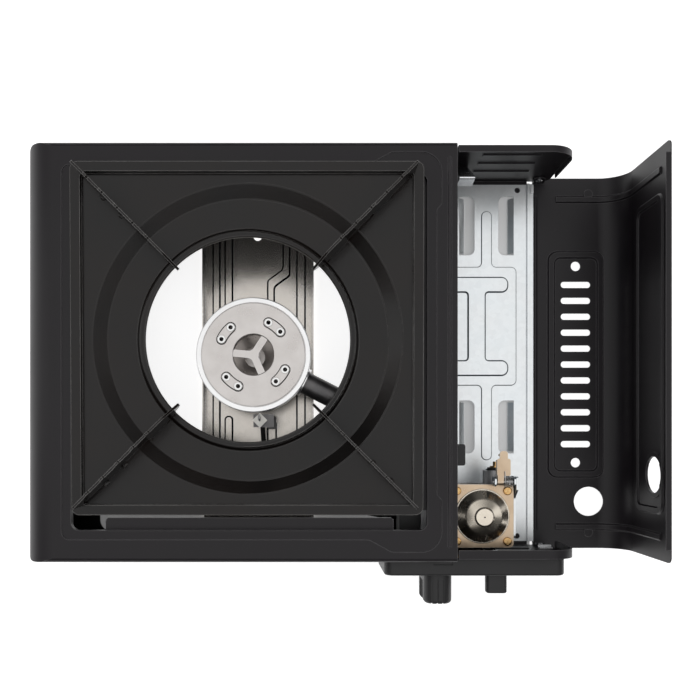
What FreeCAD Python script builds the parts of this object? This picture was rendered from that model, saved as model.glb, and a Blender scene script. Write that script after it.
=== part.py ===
import FreeCAD, Part
import math
import os

# Butane cassette stove, lid open. Millimetres, +Z up, +Y towards the rear, +X towards the cartridge bay.
# The model is drawn about the burner's axis on the table and moved at the end, so that the
# origin is the middle of the whole footprint.

V = FreeCAD.Vector

# Driving dimensions of the body shell
sheet = 0.8
running_gap = 0.3
pin_clearance = 0.05
table_gap = 3.7
left_border = 31.4
right_border = 19.1
front_border = 20.4
body_top = 74.0
shell_radius = 20.0
skirt_radius = 3.0
plan_radius = 6.0
right_hem = 8.0

# Square opening for the drip pan, its rebate and the ledge below it
opening_centre_x = -0.6
opening_half = 113.0
opening_radius = 5.0
half_depth = opening_half + front_border
body_left = opening_centre_x - opening_half - left_border
body_right = opening_centre_x + opening_half + right_border
rebate_margin = 5.8
rebate_depth = 0.8
rebate_slope = 0.7
bulge_out = 8.0
bulge_start = opening_half - 37.7
bulge_flat = opening_half - 23.1
bulge_side_out = 3.2
bulge_side_length = 25.1
bulge_radius = 13.0
ledge_drop = 5.0
ledge_front_width = 7.7
ledge_front_half = opening_half - 21.0
ledge_front_open = 12.5
ledge_side_width = 8.6
ledge_lip = 3.0
edge_rib_inset = 5.0
edge_rib_width = 2.5
edge_rib_height = 0.6
edge_rib_half = half_depth - 9.4

# Base frame and burner bracket
base_flange_height = 9.3
base_rear_border = 20.0
base_front_border = 11.5
base_left_border = 31.0
base_right_border = 31.5
base_opening_radius = 8.0
bracket_centre_x = 1.3
bracket_width = 78.6
bracket_half_length = half_depth - 5.4
bracket_wall = 11.0
bracket_wall_half = half_depth - 43.4
bracket_rib_height = 1.6
bracket_rib_slope = 1.2
stand_width = 34.0
stand_half = 24.0
stand_height = 28.0
stand_foot = 9.0

# Burner
burner_x = 1.1
base_radius = 37.4
base_height = 22.0
base_wall = 2.4
cap_radius = 33.7
cap_height = 4.0
cap_edge = 3.2
cap_groove = 0.4
cap_hole = 13.3
lug_radius = 22.9
lug_width = 7.2
lug_slope = 0.8
lug_height = 1.3
lug_hole = 1.4
lug_hole_spacing = 9.8
lug_first_angle = 52.2
lug_count = 4
port_count = 36
port_width = 1.2
spoke_width = 4.6
spoke_angles = (57.0, 175.0, 294.0)
spider_drop = 1.2
throat_radius = 8.0
mixer_radius = 7.5
mixer_wall = 1.0
mixer_height = 9.3
mixer_bend = base_radius + 29.6
mixer_start_reach = base_radius - 7.4
mixer_mouth = 11.5
mixer_run = 47.0
mixer_bend_radius = 30.0
jet_radius = 3.2

# Igniter
igniter_y = -base_radius - 5.2
igniter_x = 5.0
ceramic_side = 7.0
ceramic_flange = 4.0
ceramic_radius = 2.6
ceramic_length = 13.0
ceramic_top = 54.0
electrode_radius = 0.8
wire_radius = 1.6
piezo_width = 14.0
piezo_low = 27.0

# Drip pan, set back and tilted, as it lies in the photograph
pan_half = opening_half - 1.7
pan_rim = 5.5
pan_depth = 5.0
pan_radius = 5.0
pan_lip = 1.8
pan_x = -1.65
pan_y = 8.2
pan_hole = pan_half - 46.1
pan_bead = pan_hole + 5.8
pan_bead_height = 3.2
step_outer = pan_half - 12.7
step_inner = step_outer - 8.6
step_drop = 4.5

# Pan support blades
blade_thickness = 1.7
blade_outer = pan_half + 37.7
blade_inner = pan_hole - 7.2
blade_top = 24.9
blade_arch = 7.5
tooth_pitch = 13.0
tooth_length = 4.0
tooth_height = 1.6
tooth_first = 84.0
tooth_count = 5

# Cartridge bay
cartridge_x = body_right + 33.3
bay_right = cartridge_x + 44.4
bay_floor_right = bay_right - 11.2
bay_floor_half = half_depth - 5.4
bay_step = 1.5
bay_step_width = 4.2
cartridge_radius = 34.0
wall_y = half_depth - 1.9
wall_rim_rear = 4.4
wall_rim_front = 5.8
wall_top_drop = 1.0
wall_foot = 9.5
clip_root = 33.0
clip_reach = 15.3
clip_top = 60.0
clip_fold = 13.0
emboss_height = 1.2
emboss_slope = 1.0
louvre_width = 11.1
louvre_flap = 3.8
louvre_drop = 2.6
louvre_offset = 8.5
louvre_length_rear = 42.4
louvre_length_front = 38.1
louvre_rear_y = 98.5
louvre_front_y = -46.0
floor_hole = 1.95

# Lid
lid_seam = 0.5
lid_right = bay_right + 1.1
lid_bottom = 7.8
lid_corner = 19.0
lid_hem = 3.7
lid_hem_half = half_depth - 8.4
lid_open_angle = 90.0
hinge_x = bay_right - 8.2
hinge_z = 10.3
hinge_pin = 1.5
ear_radius = 4.5
ear_height = 8.2
vent_count = 11
vent_pitch = 11.5
vent_length = 21.3
vent_width = 4.5
vent_z = 39.0
vent_y = -0.9
vent_hole = 3.4
vent_hole_offset = 70.9
frame_height = 40.7
frame_half_length = 81.7
frame_band = 5.4
side_hole = 10.5
side_hole_y = -half_depth + 33.7
side_hole_z = 48.3
top_hole = 12.0
top_hole_x = cartridge_x - 8.7
top_hole_y = -half_depth + 55.0
lid_rib_y = half_depth - 15.3
lid_rib_width = 5.2
lid_emboss = 1.2
lid_emboss_slope = 1.0
lid_plan_radius = 4.0
lid_rib_start = 24.4
dimple_z = 48.0
dimple_inset = 11.4
panel_half_length = half_depth - 29.4
panel_from = body_right + 10.5
panel_to = bay_right - 23.2

# Regulator and cartridge coupling
plate_size = 42.0
plate_thickness = 1.5
plate_top = 48.0
plate_x = cartridge_x - 12.4
plate_y = -half_depth + 27.2
dome_ring = 19.2
dome_shoulder = 12.0
dome_boss = 6.4
dome_height = 9.0
dome_sheet = 1.0
regulator_radius = 18.5
regulator_depth = 22.5
cavity_radius = 15.0
screw_inset = 4.2
inlet_radius = 9.0
inlet_length = 11.5
nozzle_radius = 4.2
nozzle_length = 6.0
nozzle_bore = 1.2
valve_x = body_right - 8.5
valve_z = 35.0
valve_boss = 8.5
arm_left = 11.0

# Control panel, knob and locking lever
panel_left = body_right - 44.9
panel_right = bay_right - 4.5
panel_front = half_depth + 10.7
panel_low = 7.0
panel_high = 60.0
panel_wall = 2.0
panel_radius = 6.0
spindle_radius = 3.0
knob_width = 18.6
knob_length = 36.0
knob_reach = 19.5
knob_gap = 0.5
lever_x = cartridge_x - 3.3
lever_width = 13.7
lever_height = 8.0
lever_z = 48.0
lever_travel = 24.0
lever_reach = 12.4
lever_neck = 4.0

# Cartridge hook
hook_width = 8.8
hook_length = 20.3
hook_z = 56.0
hook_pin_y = plate_y + 23.1
hook_pin_z = 54.6
hook_pin_radius = 1.0
hook_barrel = 2.3
spring_wire = 0.6
spring_turns = 4.5
spring_pitch = 1.1

# Feet and screws
foot_radius = 8.0
foot_inset = 22.0
screw_radius = 1.5
screw_head = 2.9
screw_head_height = 1.6
screw_spread = 100.0
side_screw_spread = 80.0

# Worked out from the values above
floor_top = table_gap + sheet
ledge_top = body_top - ledge_drop
cap_seat = floor_top + sheet + stand_height + base_height
cap_top = cap_seat + cap_height
lid_left = body_right + lid_seam
cartridge_z = floor_top + cartridge_radius
rebate_half = opening_half + rebate_margin
pan_floor_half = pan_half - pan_rim
pan_front_z = ledge_top + running_gap
pan_rear_z = body_top - rebate_depth + running_gap
pan_tilt = math.degrees(math.atan2(pan_rear_z - pan_front_z, 2 * pan_floor_half))
spring_radius = hook_z + 1.2 + running_gap + spring_wire / 2 - hook_pin_z


# Shape helpers

def box(x0, x1, y0, y1, z0, z1):
    return Part.makeBox(x1 - x0, y1 - y0, z1 - z0, V(x0, y0, z0))


def rod(start, end, radius):
    line = V(*end) - V(*start)
    return Part.makeCylinder(radius, line.Length, V(*start), line)


def outline(corners, place):
    """Closed wire through corners (u, v, rounding radius); place turns u, v into a point."""
    spans = []
    for i, (u, v, radius) in enumerate(corners):
        corner = V(u, v, 0)
        back = V(*corners[i - 1][:2], 0) - corner
        ahead = V(*corners[(i + 1) % len(corners)][:2], 0) - corner
        back.normalize()
        ahead.normalize()
        half = back.getAngle(ahead) / 2
        reach = radius / math.tan(half) if radius else 0
        middle = corner
        if radius:
            bisector = back + ahead
            bisector.normalize()
            middle = corner + bisector * (radius / math.sin(half) - radius)
        spans.append((corner + back * reach, middle, corner + ahead * reach, radius))
    edges = []
    for i, (start, middle, end, radius) in enumerate(spans):
        last = spans[i - 1][2]
        if (start - last).Length > 1e-4:
            edges.append(Part.LineSegment(place(last.x, last.y), place(start.x, start.y)).toShape())
        if radius:
            arc = Part.Arc(place(start.x, start.y), place(middle.x, middle.y), place(end.x, end.y))
            edges.append(arc.toShape())
    return Part.Wire(edges)


def plan(corners, z0, z1):
    wire = outline(corners, lambda u, v: V(u, v, z0))
    return Part.Face(wire).extrude(V(0, 0, z1 - z0))


def side(corners, y0, y1):
    wire = outline(corners, lambda u, v: V(u, y0, v))
    return Part.Face(wire).extrude(V(0, y1 - y0, 0))


def front(corners, x0, x1):
    wire = outline(corners, lambda u, v: V(x0, u, v))
    return Part.Face(wire).extrude(V(x1 - x0, 0, 0))


def turned(corners, x, y):
    """Ring turned about the vertical axis at x, y from corners (radius, height, rounding)."""
    wire = outline(corners, lambda u, v: V(x + u, y, v))
    return Part.Face(wire).revolve(V(x, y, 0), V(0, 0, 1), 360)


def rect(u0, u1, v0, v1, radius=0):
    return [(u0, v0, radius), (u1, v0, radius), (u1, v1, radius), (u0, v1, radius)]


def square(x, y, half, radius=0):
    return rect(x - half, x + half, y - half, y + half, radius)


def pressed(corners, z0, z1, slope):
    """Raised rib on a sheet: a prism whose top edges slope back to the sheet."""
    rib = plan(corners, z0, z1)
    return rib.makeChamfer(slope, [e for e in rib.Edges if all(abs(v.Z - z1) < 1e-4 for v in e.Vertexes)])


def join(shapes):
    return shapes[0].multiFuse(shapes[1:]).removeSplitter()


def mirrored_in_y(shape):
    return shape.mirror(V(0, 0, 0), V(0, 1, 0))


def pan_head_screw(point, direction, length, cross=True):
    """Pan-head screw: point is under the head, direction runs from the shank to the head."""
    head_dir = V(*direction)
    base = V(*point)
    head = Part.makeCylinder(screw_head, screw_head_height, base, head_dir)
    head = head.makeFillet(screw_head_height * 0.5, [head.Edges[0]])
    shank = Part.makeCylinder(screw_radius, length, base, head_dir * -1)
    screw = head.fuse(shank)
    if cross:
        slot = box(-screw_head * 0.6, screw_head * 0.6, -0.35, 0.35, -0.9, 1)
        slot = slot.fuse(box(-0.35, 0.35, -screw_head * 0.6, screw_head * 0.6, -0.9, 1))
        turn = FreeCAD.Rotation(V(0, 0, 1), head_dir)
        slot.Placement = FreeCAD.Placement(base + head_dir * screw_head_height, turn)
        screw = screw.cut(slot)
    return screw


# Body shell

def shell_block(inset, low, right):
    """Solid block of the shell's outer shape, drawn in by inset, from low up."""
    top = body_top - inset
    profile = side([(body_left + inset, low, 0), (right, low, 0), (right, top, 0),
                    (body_left + inset, top, shell_radius - inset)],
                   -half_depth + inset, half_depth - inset)
    edge = half_depth - inset
    rounded = front([(-edge, low, 0), (edge, low, 0), (edge, top, skirt_radius - inset),
                     (-edge, top, skirt_radius - inset)], body_left, right)
    corner = plan_radius - inset
    footprint = plan([(body_left + inset, -edge, corner), (right, -edge, 0), (right, edge, 0),
                      (body_left + inset, edge, corner)], low, top)
    return profile.common(rounded).common(footprint)


def rebate_outline(grow):
    """Outline of the shallow rebate, with its bulges at the two right-hand corners."""
    left = opening_centre_x - rebate_half - grow
    right = opening_centre_x + rebate_half + grow
    edge = rebate_half + grow
    outer = edge + bulge_out
    far = right + bulge_side_out
    low = rebate_half - bulge_side_length - bulge_side_out - grow * (math.sqrt(2) - 1)
    upper = [(right, low, 3), (far, low + bulge_side_out, 3), (far, outer, bulge_radius),
             (bulge_flat, outer, 8), (bulge_start, edge, 8)]
    lower = [(x, -y, radius) for x, y, radius in reversed(upper)]
    return [(left, edge, 5), (left, -edge, 5)] + lower + upper


def ledge_corners(extra):
    return rect(opening_centre_x - opening_half + ledge_side_width - extra,
                opening_centre_x + opening_half - ledge_side_width + extra,
                -opening_half + ledge_front_width - extra,
                opening_half - ledge_front_width + extra, opening_radius)


def top_cover():
    shell = shell_block(0, table_gap, body_right)
    shell = shell.cut(shell_block(sheet, table_gap - 1, body_right + 1))
    hem = box(body_right - sheet, body_right, -half_depth + 4, half_depth - 4,
              body_top - right_hem, body_top - sheet / 2)
    low = body_top - rebate_depth - sheet
    step = plan(rebate_outline(rebate_slope), low + sheet, body_top + 1)
    step = step.makeChamfer(rebate_slope, [e for e in step.Edges if all(
        abs(v.Z - low - sheet) < 1e-4 for v in e.Vertexes)])
    shell = shell.cut(plan(rebate_outline(0), low, body_top + 1)).cut(step)
    rebate_wall = plan(rebate_outline(sheet), low, body_top)
    rebate_wall = rebate_wall.cut(plan(rebate_outline(0), low + sheet, body_top + 1))
    shell = join([shell, hem, rebate_wall])
    opening = square(opening_centre_x, 0, opening_half, opening_radius)
    shell = shell.cut(plan(opening, low - 1, body_top + 1))
    drop_outer = square(opening_centre_x, 0, opening_half + sheet, opening_radius + sheet)
    drop = plan(drop_outer, ledge_top - sheet, body_top - rebate_depth)
    drop = drop.cut(plan(opening, ledge_top, body_top + 1))
    drop = drop.cut(plan(ledge_corners(0), ledge_top - 2 * sheet, ledge_top + 1))
    lip = plan(ledge_corners(sheet), ledge_top - ledge_lip, ledge_top)
    lip = lip.cut(plan(ledge_corners(0), ledge_top - ledge_lip - 1, ledge_top + 1))
    front_corners = box(opening_centre_x - opening_half, opening_centre_x + opening_half,
                        -opening_half, -opening_half + ledge_front_open, ledge_top - ledge_lip - 1,
                        ledge_top)
    front_corners = front_corners.cut(plan(rect(
        opening_centre_x - ledge_front_half, opening_centre_x + ledge_front_half, -opening_half - 9,
        -opening_half + ledge_front_width + sheet / 2, 3), ledge_top - ledge_lip - 2, ledge_top + 1))
    drop, lip = drop.cut(front_corners), lip.cut(front_corners)
    rib_x = body_right - edge_rib_inset
    rib = pressed(rect(rib_x - edge_rib_width / 2, rib_x + edge_rib_width / 2,
                       -edge_rib_half, edge_rib_half, edge_rib_width * 0.49),
                  body_top - sheet / 2, body_top + edge_rib_height, edge_rib_height * 0.9)
    shell = join([shell, drop, lip, rib])
    for place, direction in cover_screw_places():
        start = V(*place) + V(*direction) * 3
        shell = shell.cut(Part.makeCylinder(screw_radius, 8, start, V(*direction) * -1))
    spindle_hole = rod((valve_x, -half_depth - 1, valve_z), (valve_x, -half_depth + 3, valve_z),
                       spindle_radius + 2.5)
    return shell.cut(spindle_hole)


def cover_screw_places():
    """Under-head points and outward directions of the screws that hold the shell to the base."""
    height = table_gap + base_flange_height * 0.6
    places = [((x, half_depth, height), (0, 1, 0)) for x in (-screw_spread, 0, screw_spread)]
    places += [((x, -half_depth, height), (0, -1, 0)) for x in (-screw_spread, 0)]
    places += [((body_left, y, height), (-1, 0, 0)) for y in (-side_screw_spread, side_screw_spread)]
    return places


def cover_screws():
    length = 2 * sheet + running_gap + 2
    return Part.makeCompound([pan_head_screw(p, d, length) for p, d in cover_screw_places()])


def base_frame():
    left = body_left + sheet + running_gap
    edge = half_depth - sheet - running_gap
    right = body_right - 2
    corner = plan_radius - sheet - running_gap
    top = table_gap + base_flange_height
    tray = plan([(left, -edge, corner), (right, -edge, 0), (right, edge, 0), (left, edge, corner)],
                table_gap, top)
    inner = plan([(left + sheet, -edge + sheet, corner - sheet), (right + 1, -edge + sheet, 0),
                  (right + 1, edge - sheet, 0), (left + sheet, edge - sheet, corner - sheet)],
                 floor_top, top + 1)
    opening = plan(rect(left + base_left_border, right - base_right_border,
                        -edge + base_front_border, edge - base_rear_border, base_opening_radius),
                   table_gap - 1, floor_top + 1)
    tray = tray.cut(inner).cut(opening)
    for place, direction in cover_screw_places():
        start = V(*place) + V(*direction) * 3
        tray = tray.cut(Part.makeCylinder(screw_radius, 8, start, V(*direction) * -1))
    return tray


def feet():
    places = [(body_left + foot_inset, y) for y in (-half_depth + foot_inset, half_depth - foot_inset)]
    places += [(cartridge_x, y) for y in (-half_depth + foot_inset, half_depth - foot_inset)]
    shapes = []
    for x, y in places:
        foot = turned([(0, 0, 0), (foot_radius - 1.2, 0, 0), (foot_radius, table_gap, 0),
                       (0, table_gap, 0)], x, y)
        shapes.append(foot)
    return Part.makeCompound(shapes)


# Cartridge bay

def louvre(x, y, length, hinge_side):
    """Opening and bent-down flap of one floor louvre; hinge_side is +1 for a flap on the right."""
    inner = x - hinge_side * louvre_width / 2
    outer = x + hinge_side * louvre_width / 2
    low, high = min(inner, outer), max(inner, outer)
    hole = plan(rect(low, high, y - length / 2, y + length / 2, louvre_width * 0.4),
                table_gap - 1, floor_top + 2)
    square_side = box(min(x, outer), max(x, outer), y - length / 2, y + length / 2,
                      table_gap - 1, floor_top + 2)
    tip = outer - hinge_side * louvre_flap
    flap = side([(outer, table_gap, 0), (outer, floor_top, 0), (tip, floor_top - louvre_drop, 0),
                 (tip, table_gap - louvre_drop, 0)], y - length / 2 + 1.5, y + length / 2 - 1.5)
    return hole.fuse(square_side), flap


def bay_floor():
    left = body_right - 1.7
    step_x = bay_floor_right - bay_step_width
    plate = plan(rect(left, bay_floor_right, -bay_floor_half, bay_floor_half), table_gap, floor_top)
    step = box(step_x, bay_floor_right, -bay_floor_half, bay_floor_half, table_gap,
               floor_top + bay_step)
    step = step.cut(box(step_x + sheet, bay_floor_right + 1, -bay_floor_half - 1,
                        bay_floor_half + 1, table_gap - 1, floor_top + bay_step - sheet))
    web_x = cartridge_x - 7.3
    bar = 11.5
    stem_half = 3.9
    low, high = floor_top - sheet / 2, floor_top + 1.5 * emboss_height
    raised = [
        pressed([(left + 3, -16.4, 3), (cartridge_x - stem_half, -16.4, 3),
                 (cartridge_x - stem_half, -70, stem_half - 0.1),
                 (cartridge_x + stem_half, -70, stem_half - 0.1), (cartridge_x + stem_half, -16.4, 3),
                 (cartridge_x + 21.5, -16.4, 4), (cartridge_x + 21.5, 69, 4),
                 (cartridge_x + stem_half, 69, 3), (cartridge_x + stem_half, 109, stem_half - 0.1),
                 (cartridge_x - stem_half, 109, stem_half - 0.1), (cartridge_x - stem_half, 69, 3),
                 (left + 3, 69, 3)],
                low, floor_top + emboss_height / 2, emboss_slope * 0.6),
        pressed([(left + 6, 50.2, 5), (web_x - 6.6, 50.2, 2), (web_x - 6.6, bar - 9.6, 2),
                 (left + 6, bar - 9.6, 5), (left + 6, -9.6, 5), (cartridge_x + 15.5, -9.6, 5),
                 (cartridge_x + 15.5, bar - 9.6, 5), (web_x + 6.6, bar - 9.6, 2),
                 (web_x + 6.6, 50.2, 2), (cartridge_x + 15.5, 50.2, 5),
                 (cartridge_x + 15.5, 50.2 + bar, 5), (left + 6, 50.2 + bar, 5)],
                low, high, emboss_slope),
        pressed(rect(cartridge_x - 1.8, cartridge_x + 6.9, -84, -76, 2.5), low,
                high + emboss_height, emboss_slope),
    ]
    holes = []
    flaps = []
    for y, length in ((louvre_rear_y, louvre_length_rear), (louvre_front_y, louvre_length_front)):
        for hinge_side in (-1, 1):
            x = cartridge_x + hinge_side * (louvre_offset + louvre_width / 2)
            hole, flap = louvre(x, y, length, hinge_side)
            holes.append(hole)
            flaps.append(flap)
    holes.append(rod((cartridge_x + 22.2, bay_floor_half - 4, table_gap - 1),
                     (cartridge_x + 22.2, bay_floor_half - 4, floor_top + 1), floor_hole))
    holes.append(rod((cartridge_x + 22.0, -bay_floor_half + 3.6, table_gap - 1),
                     (cartridge_x + 22.0, -bay_floor_half + 3.6, floor_top + 1), floor_hole))
    plate = plate.cut(box(step_x + sheet, bay_floor_right + 1, -bay_floor_half - 1,
                          bay_floor_half + 1, table_gap - 1, floor_top + 1))
    floor = join([plate, step] + raised)
    for hole in holes:
        floor = floor.cut(hole)
    return join([floor] + flaps)


def end_wall(rim):
    """End wall of the bay at the rear, with its rim turned inwards; the front one is its mirror."""
    low = table_gap - sheet
    top = body_top - wall_top_drop
    start = body_right - 1.3
    under = body_top - right_hem - 6
    radius = lid_corner - (lid_right - bay_right)

    def profile(inset, y0, y1):
        return side([(start, low + inset, 0), (bay_right - inset, low + inset, hinge_z - low),
                     (bay_right - inset, top - inset, radius - inset),
                     (start + 2.2, top - inset, 0), (start + 2.2, under, 0), (start, under, 0)], y0, y1)

    wall = profile(0, wall_y - rim, wall_y)
    hollow = side([(start - 1, low - 1, 0), (bay_right - sheet, low - 1, 0),
                   (bay_right - sheet, top - sheet, radius - sheet), (start - 1, top - sheet, 0)],
                  wall_y - rim - 1, wall_y - sheet)
    wall = wall.cut(hollow)
    ear_room = box(bay_right - 2, bay_right + 1, wall_y - rim - 1, wall_y - sheet, low - 1,
                   hinge_z + ear_height + 4)
    wall = wall.cut(ear_room)
    foot = box(start, bay_floor_right - 4, wall_y - wall_foot, wall_y - sheet / 2, low, table_gap)
    ribs = [front([(wall_y - sheet - 0.9, z - 0.8, 0.3), (wall_y - sheet / 2, z - 2.6, 0),
                   (wall_y - sheet / 2, z + 2.6, 0), (wall_y - sheet - 0.9, z + 0.8, 0.3)],
                  cartridge_x - 14, bay_right - 20) for z in (26, 42, 58)]
    pin_hole = rod((hinge_x, wall_y - 2, hinge_z), (hinge_x, wall_y + 1, hinge_z), hinge_pin)
    return join([wall, foot] + ribs).cut(pin_hole)


def front_end_wall():
    wall = mirrored_in_y(end_wall(wall_rim_front))
    slot = box(lever_x - lever_neck, lever_x + lever_neck, -wall_y - 1, -wall_y + 2,
               lever_z - lever_travel - 6, lever_z + 6)
    return wall.cut(slot)


def heat_shield():
    """Partition between the burner and the bay, with a foot on the base frame."""
    x1 = body_right - 3.5
    rear = half_depth - 5
    front_end = plate_y + plate_size / 2 + 8
    plate = box(x1 - sheet, x1, front_end, rear, floor_top, body_top - right_hem - 1)
    foot = box(x1 - 12, x1, front_end, rear, floor_top, floor_top + sheet)
    slots = []
    for i in range(6):
        y = front_end + 37.2 + i * 28
        slots.append(front(rect(y - 9, y + 9, 44, 49, 2.4), x1 - 3, x1 + 3))
    shield = join([plate, foot])
    for slot in slots:
        shield = shield.cut(slot)
    return shield


def cartridge_guide():
    """Moulded block that fits the notch in the cartridge's collar."""
    x0 = body_right - 3.5
    y0 = plate_y + plate_size / 2 + 12.9
    block = plan(rect(x0, x0 + 11, y0, y0 + 14, 1.5), 50, 60)
    return block.cut(box(x0 + 7, x0 + 12, y0 + 4.3, y0 + 9.3, 49, 53))


def cartridge_clip():
    """Bent leaf spring that rises from the rear wall, with a fold that presses on the cartridge's end."""
    back = wall_y - sheet
    corners = [V(back, clip_root - 11), V(back, clip_root), V(back - clip_reach, clip_top),
               V(back - clip_reach - 1.8, clip_top - clip_fold)]
    headings = [(b - a).normalize() for a, b in zip(corners, corners[1:])]
    inward = [V(-way.y, way.x) for way in headings]
    inner = [corners[0] + inward[0] * sheet]
    for corner, before, after in zip(corners[1:], inward, inward[1:]):
        inner.append(corner + (before + after) * (sheet / (1 + before.dot(after))))
    inner.append(corners[-1] + inward[-1] * sheet)
    rounding = (0, 0, 1.2, 0)
    outer_side = [(c.x, c.y, r) for c, r in zip(corners, rounding)]
    inner_side = [(c.x, c.y, r / 3) for c, r in zip(reversed(inner), reversed(rounding))]
    return front(outer_side + inner_side, cartridge_x - 29, cartridge_x - 19)


# Lid, drawn closed and then swung open about its hinge

def lid_ridge_on_side(outer, inner):
    face = lid_right - sheet - lid_emboss
    ring = front(outer, face, lid_right - sheet / 2)
    ring = ring.cut(front(inner, face - 1, lid_right + 1))
    return ring.makeChamfer(lid_emboss_slope, [e for e in ring.Edges if all(
        abs(v.X - face) < 1e-4 for v in e.Vertexes)])


def lid():
    top = body_top
    corner = lid_corner
    shell = side([(lid_left, top, 0), (lid_right, top, corner), (lid_right, lid_bottom, 0),
                  (lid_right - sheet, lid_bottom, 0), (lid_right - sheet, top - sheet, corner - sheet),
                  (lid_left, top - sheet, 0)], -half_depth, half_depth)
    corners = plan([(lid_left, -half_depth, lid_plan_radius), (lid_right, -half_depth, 0),
                    (lid_right, half_depth, 0), (lid_left, half_depth, lid_plan_radius)], 0, top)
    shell = shell.common(corners)
    hem = box(lid_left, lid_left + sheet, -lid_hem_half, lid_hem_half, top - lid_hem, top - sheet / 2)
    ears = []
    for sign in (-1, 1):
        y0 = sign * (wall_y - sheet - running_gap)
        y1 = y0 - sign * sheet
        plate = side([(hinge_x, hinge_z - ear_radius + 2, 0), (lid_right - sheet / 2, lid_bottom, 0),
                      (lid_right - sheet / 2, lid_bottom + ear_height, 0),
                      (hinge_x, hinge_z + ear_radius, 0)], min(y0, y1), max(y0, y1))
        disc = rod((hinge_x, min(y0, y1), hinge_z), (hinge_x, max(y0, y1), hinge_z), ear_radius)
        ears.append(plate.fuse(disc))
    face_x = lid_right - sheet - lid_emboss
    face_z = top - sheet - lid_emboss
    z0 = vent_z - frame_height / 2
    z1 = vent_z + frame_height / 2
    frame = lid_ridge_on_side(
        rect(vent_y - frame_half_length, vent_y + frame_half_length, z0, z1, 7),
        rect(vent_y - frame_half_length + frame_band, vent_y + frame_half_length - frame_band,
             z0 + frame_band, z1 - frame_band, 4))
    panel = plan(rect(panel_from, panel_to, -panel_half_length, panel_half_length, 8),
                 face_z, top - sheet / 2)
    panel = panel.cut(plan(rect(panel_from + 5, panel_to - 5, -panel_half_length + 5,
                                panel_half_length - 5, 4), face_z - 1, top + 1))
    panel = panel.makeChamfer(lid_emboss_slope, [e for e in panel.Edges if all(
        abs(v.Z - face_z) < 1e-4 for v in e.Vertexes)])
    ribs = []
    for sign in (-1, 1):
        y0 = sign * lid_rib_y - lid_rib_width / 2
        rib = side([(lid_left + 14, top - sheet / 2, 0), (lid_right - sheet / 2, top - sheet / 2, corner),
                    (lid_right - sheet / 2, lid_rib_start, 0),
                    (face_x, lid_rib_start, 0), (face_x, face_z, corner - sheet - lid_emboss),
                    (lid_left + 14, face_z, 0)], y0, y0 + lid_rib_width)
        rib = rib.makeChamfer(lid_emboss_slope, [e for e in rib.Edges if all(
            v.X < face_x + 1e-4 and v.Z < face_z + 1e-4 for v in e.Vertexes)
            and abs(e.Vertexes[0].Y - e.Vertexes[-1].Y) < 1e-4])
        ribs.append(rib)
        y = sign * (half_depth - dimple_inset)
        dimple = rod((face_x + lid_emboss * 0.3, y, dimple_z), (lid_right - sheet / 2, y, dimple_z), 3.2)
        ribs.append(dimple)
    collar = rod((top_hole_x, top_hole_y, top - sheet - 0.8),
                 (top_hole_x, top_hole_y, top - sheet / 2), top_hole + 3)
    lid_shape = join([shell, hem, frame, panel, collar] + ribs + ears)
    cuts = []
    for i in range(vent_count):
        y = vent_y + (i - (vent_count - 1) / 2) * vent_pitch
        cuts.append(front(rect(y - vent_width / 2, y + vent_width / 2, vent_z - vent_length / 2,
                               vent_z + vent_length / 2, vent_width * 0.49),
                          lid_right - 4, lid_right + 1))
    for sign in (-1, 1):
        y = vent_y + sign * vent_hole_offset
        cuts.append(rod((lid_right - 4, y, vent_z), (lid_right + 1, y, vent_z), vent_hole))
        cuts.append(rod((hinge_x, sign * (wall_y - 4), hinge_z), (hinge_x, sign * wall_y, hinge_z),
                        hinge_pin + pin_clearance))
    cuts.append(rod((lid_right - 4, side_hole_y, side_hole_z),
                    (lid_right + 1, side_hole_y, side_hole_z), side_hole))
    cuts.append(rod((top_hole_x, top_hole_y, top - 4), (top_hole_x, top_hole_y, top + 1), top_hole))
    lid_shape = lid_shape.cut(Part.makeCompound(cuts))
    lid_shape.rotate(V(hinge_x, 0, hinge_z), V(0, 1, 0), lid_open_angle)
    return lid_shape


def lid_hinge_pins():
    """Two rivets, each through an end wall and the lid's ear inside it."""
    shapes = []
    for sign in (-1, 1):
        outer = sign * wall_y
        inner = sign * (wall_y - 2 * sheet - 2 * running_gap)
        shank = rod((hinge_x, inner, hinge_z), (hinge_x, outer, hinge_z), hinge_pin)
        head = rod((hinge_x, outer, hinge_z), (hinge_x, outer + sign * 1.2, hinge_z), hinge_pin + 1.4)
        tail = rod((hinge_x, inner, hinge_z), (hinge_x, inner - sign * 0.8, hinge_z), hinge_pin + 0.8)
        shapes.append(join([shank, head, tail]))
    return Part.makeCompound(shapes)


# Burner

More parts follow.
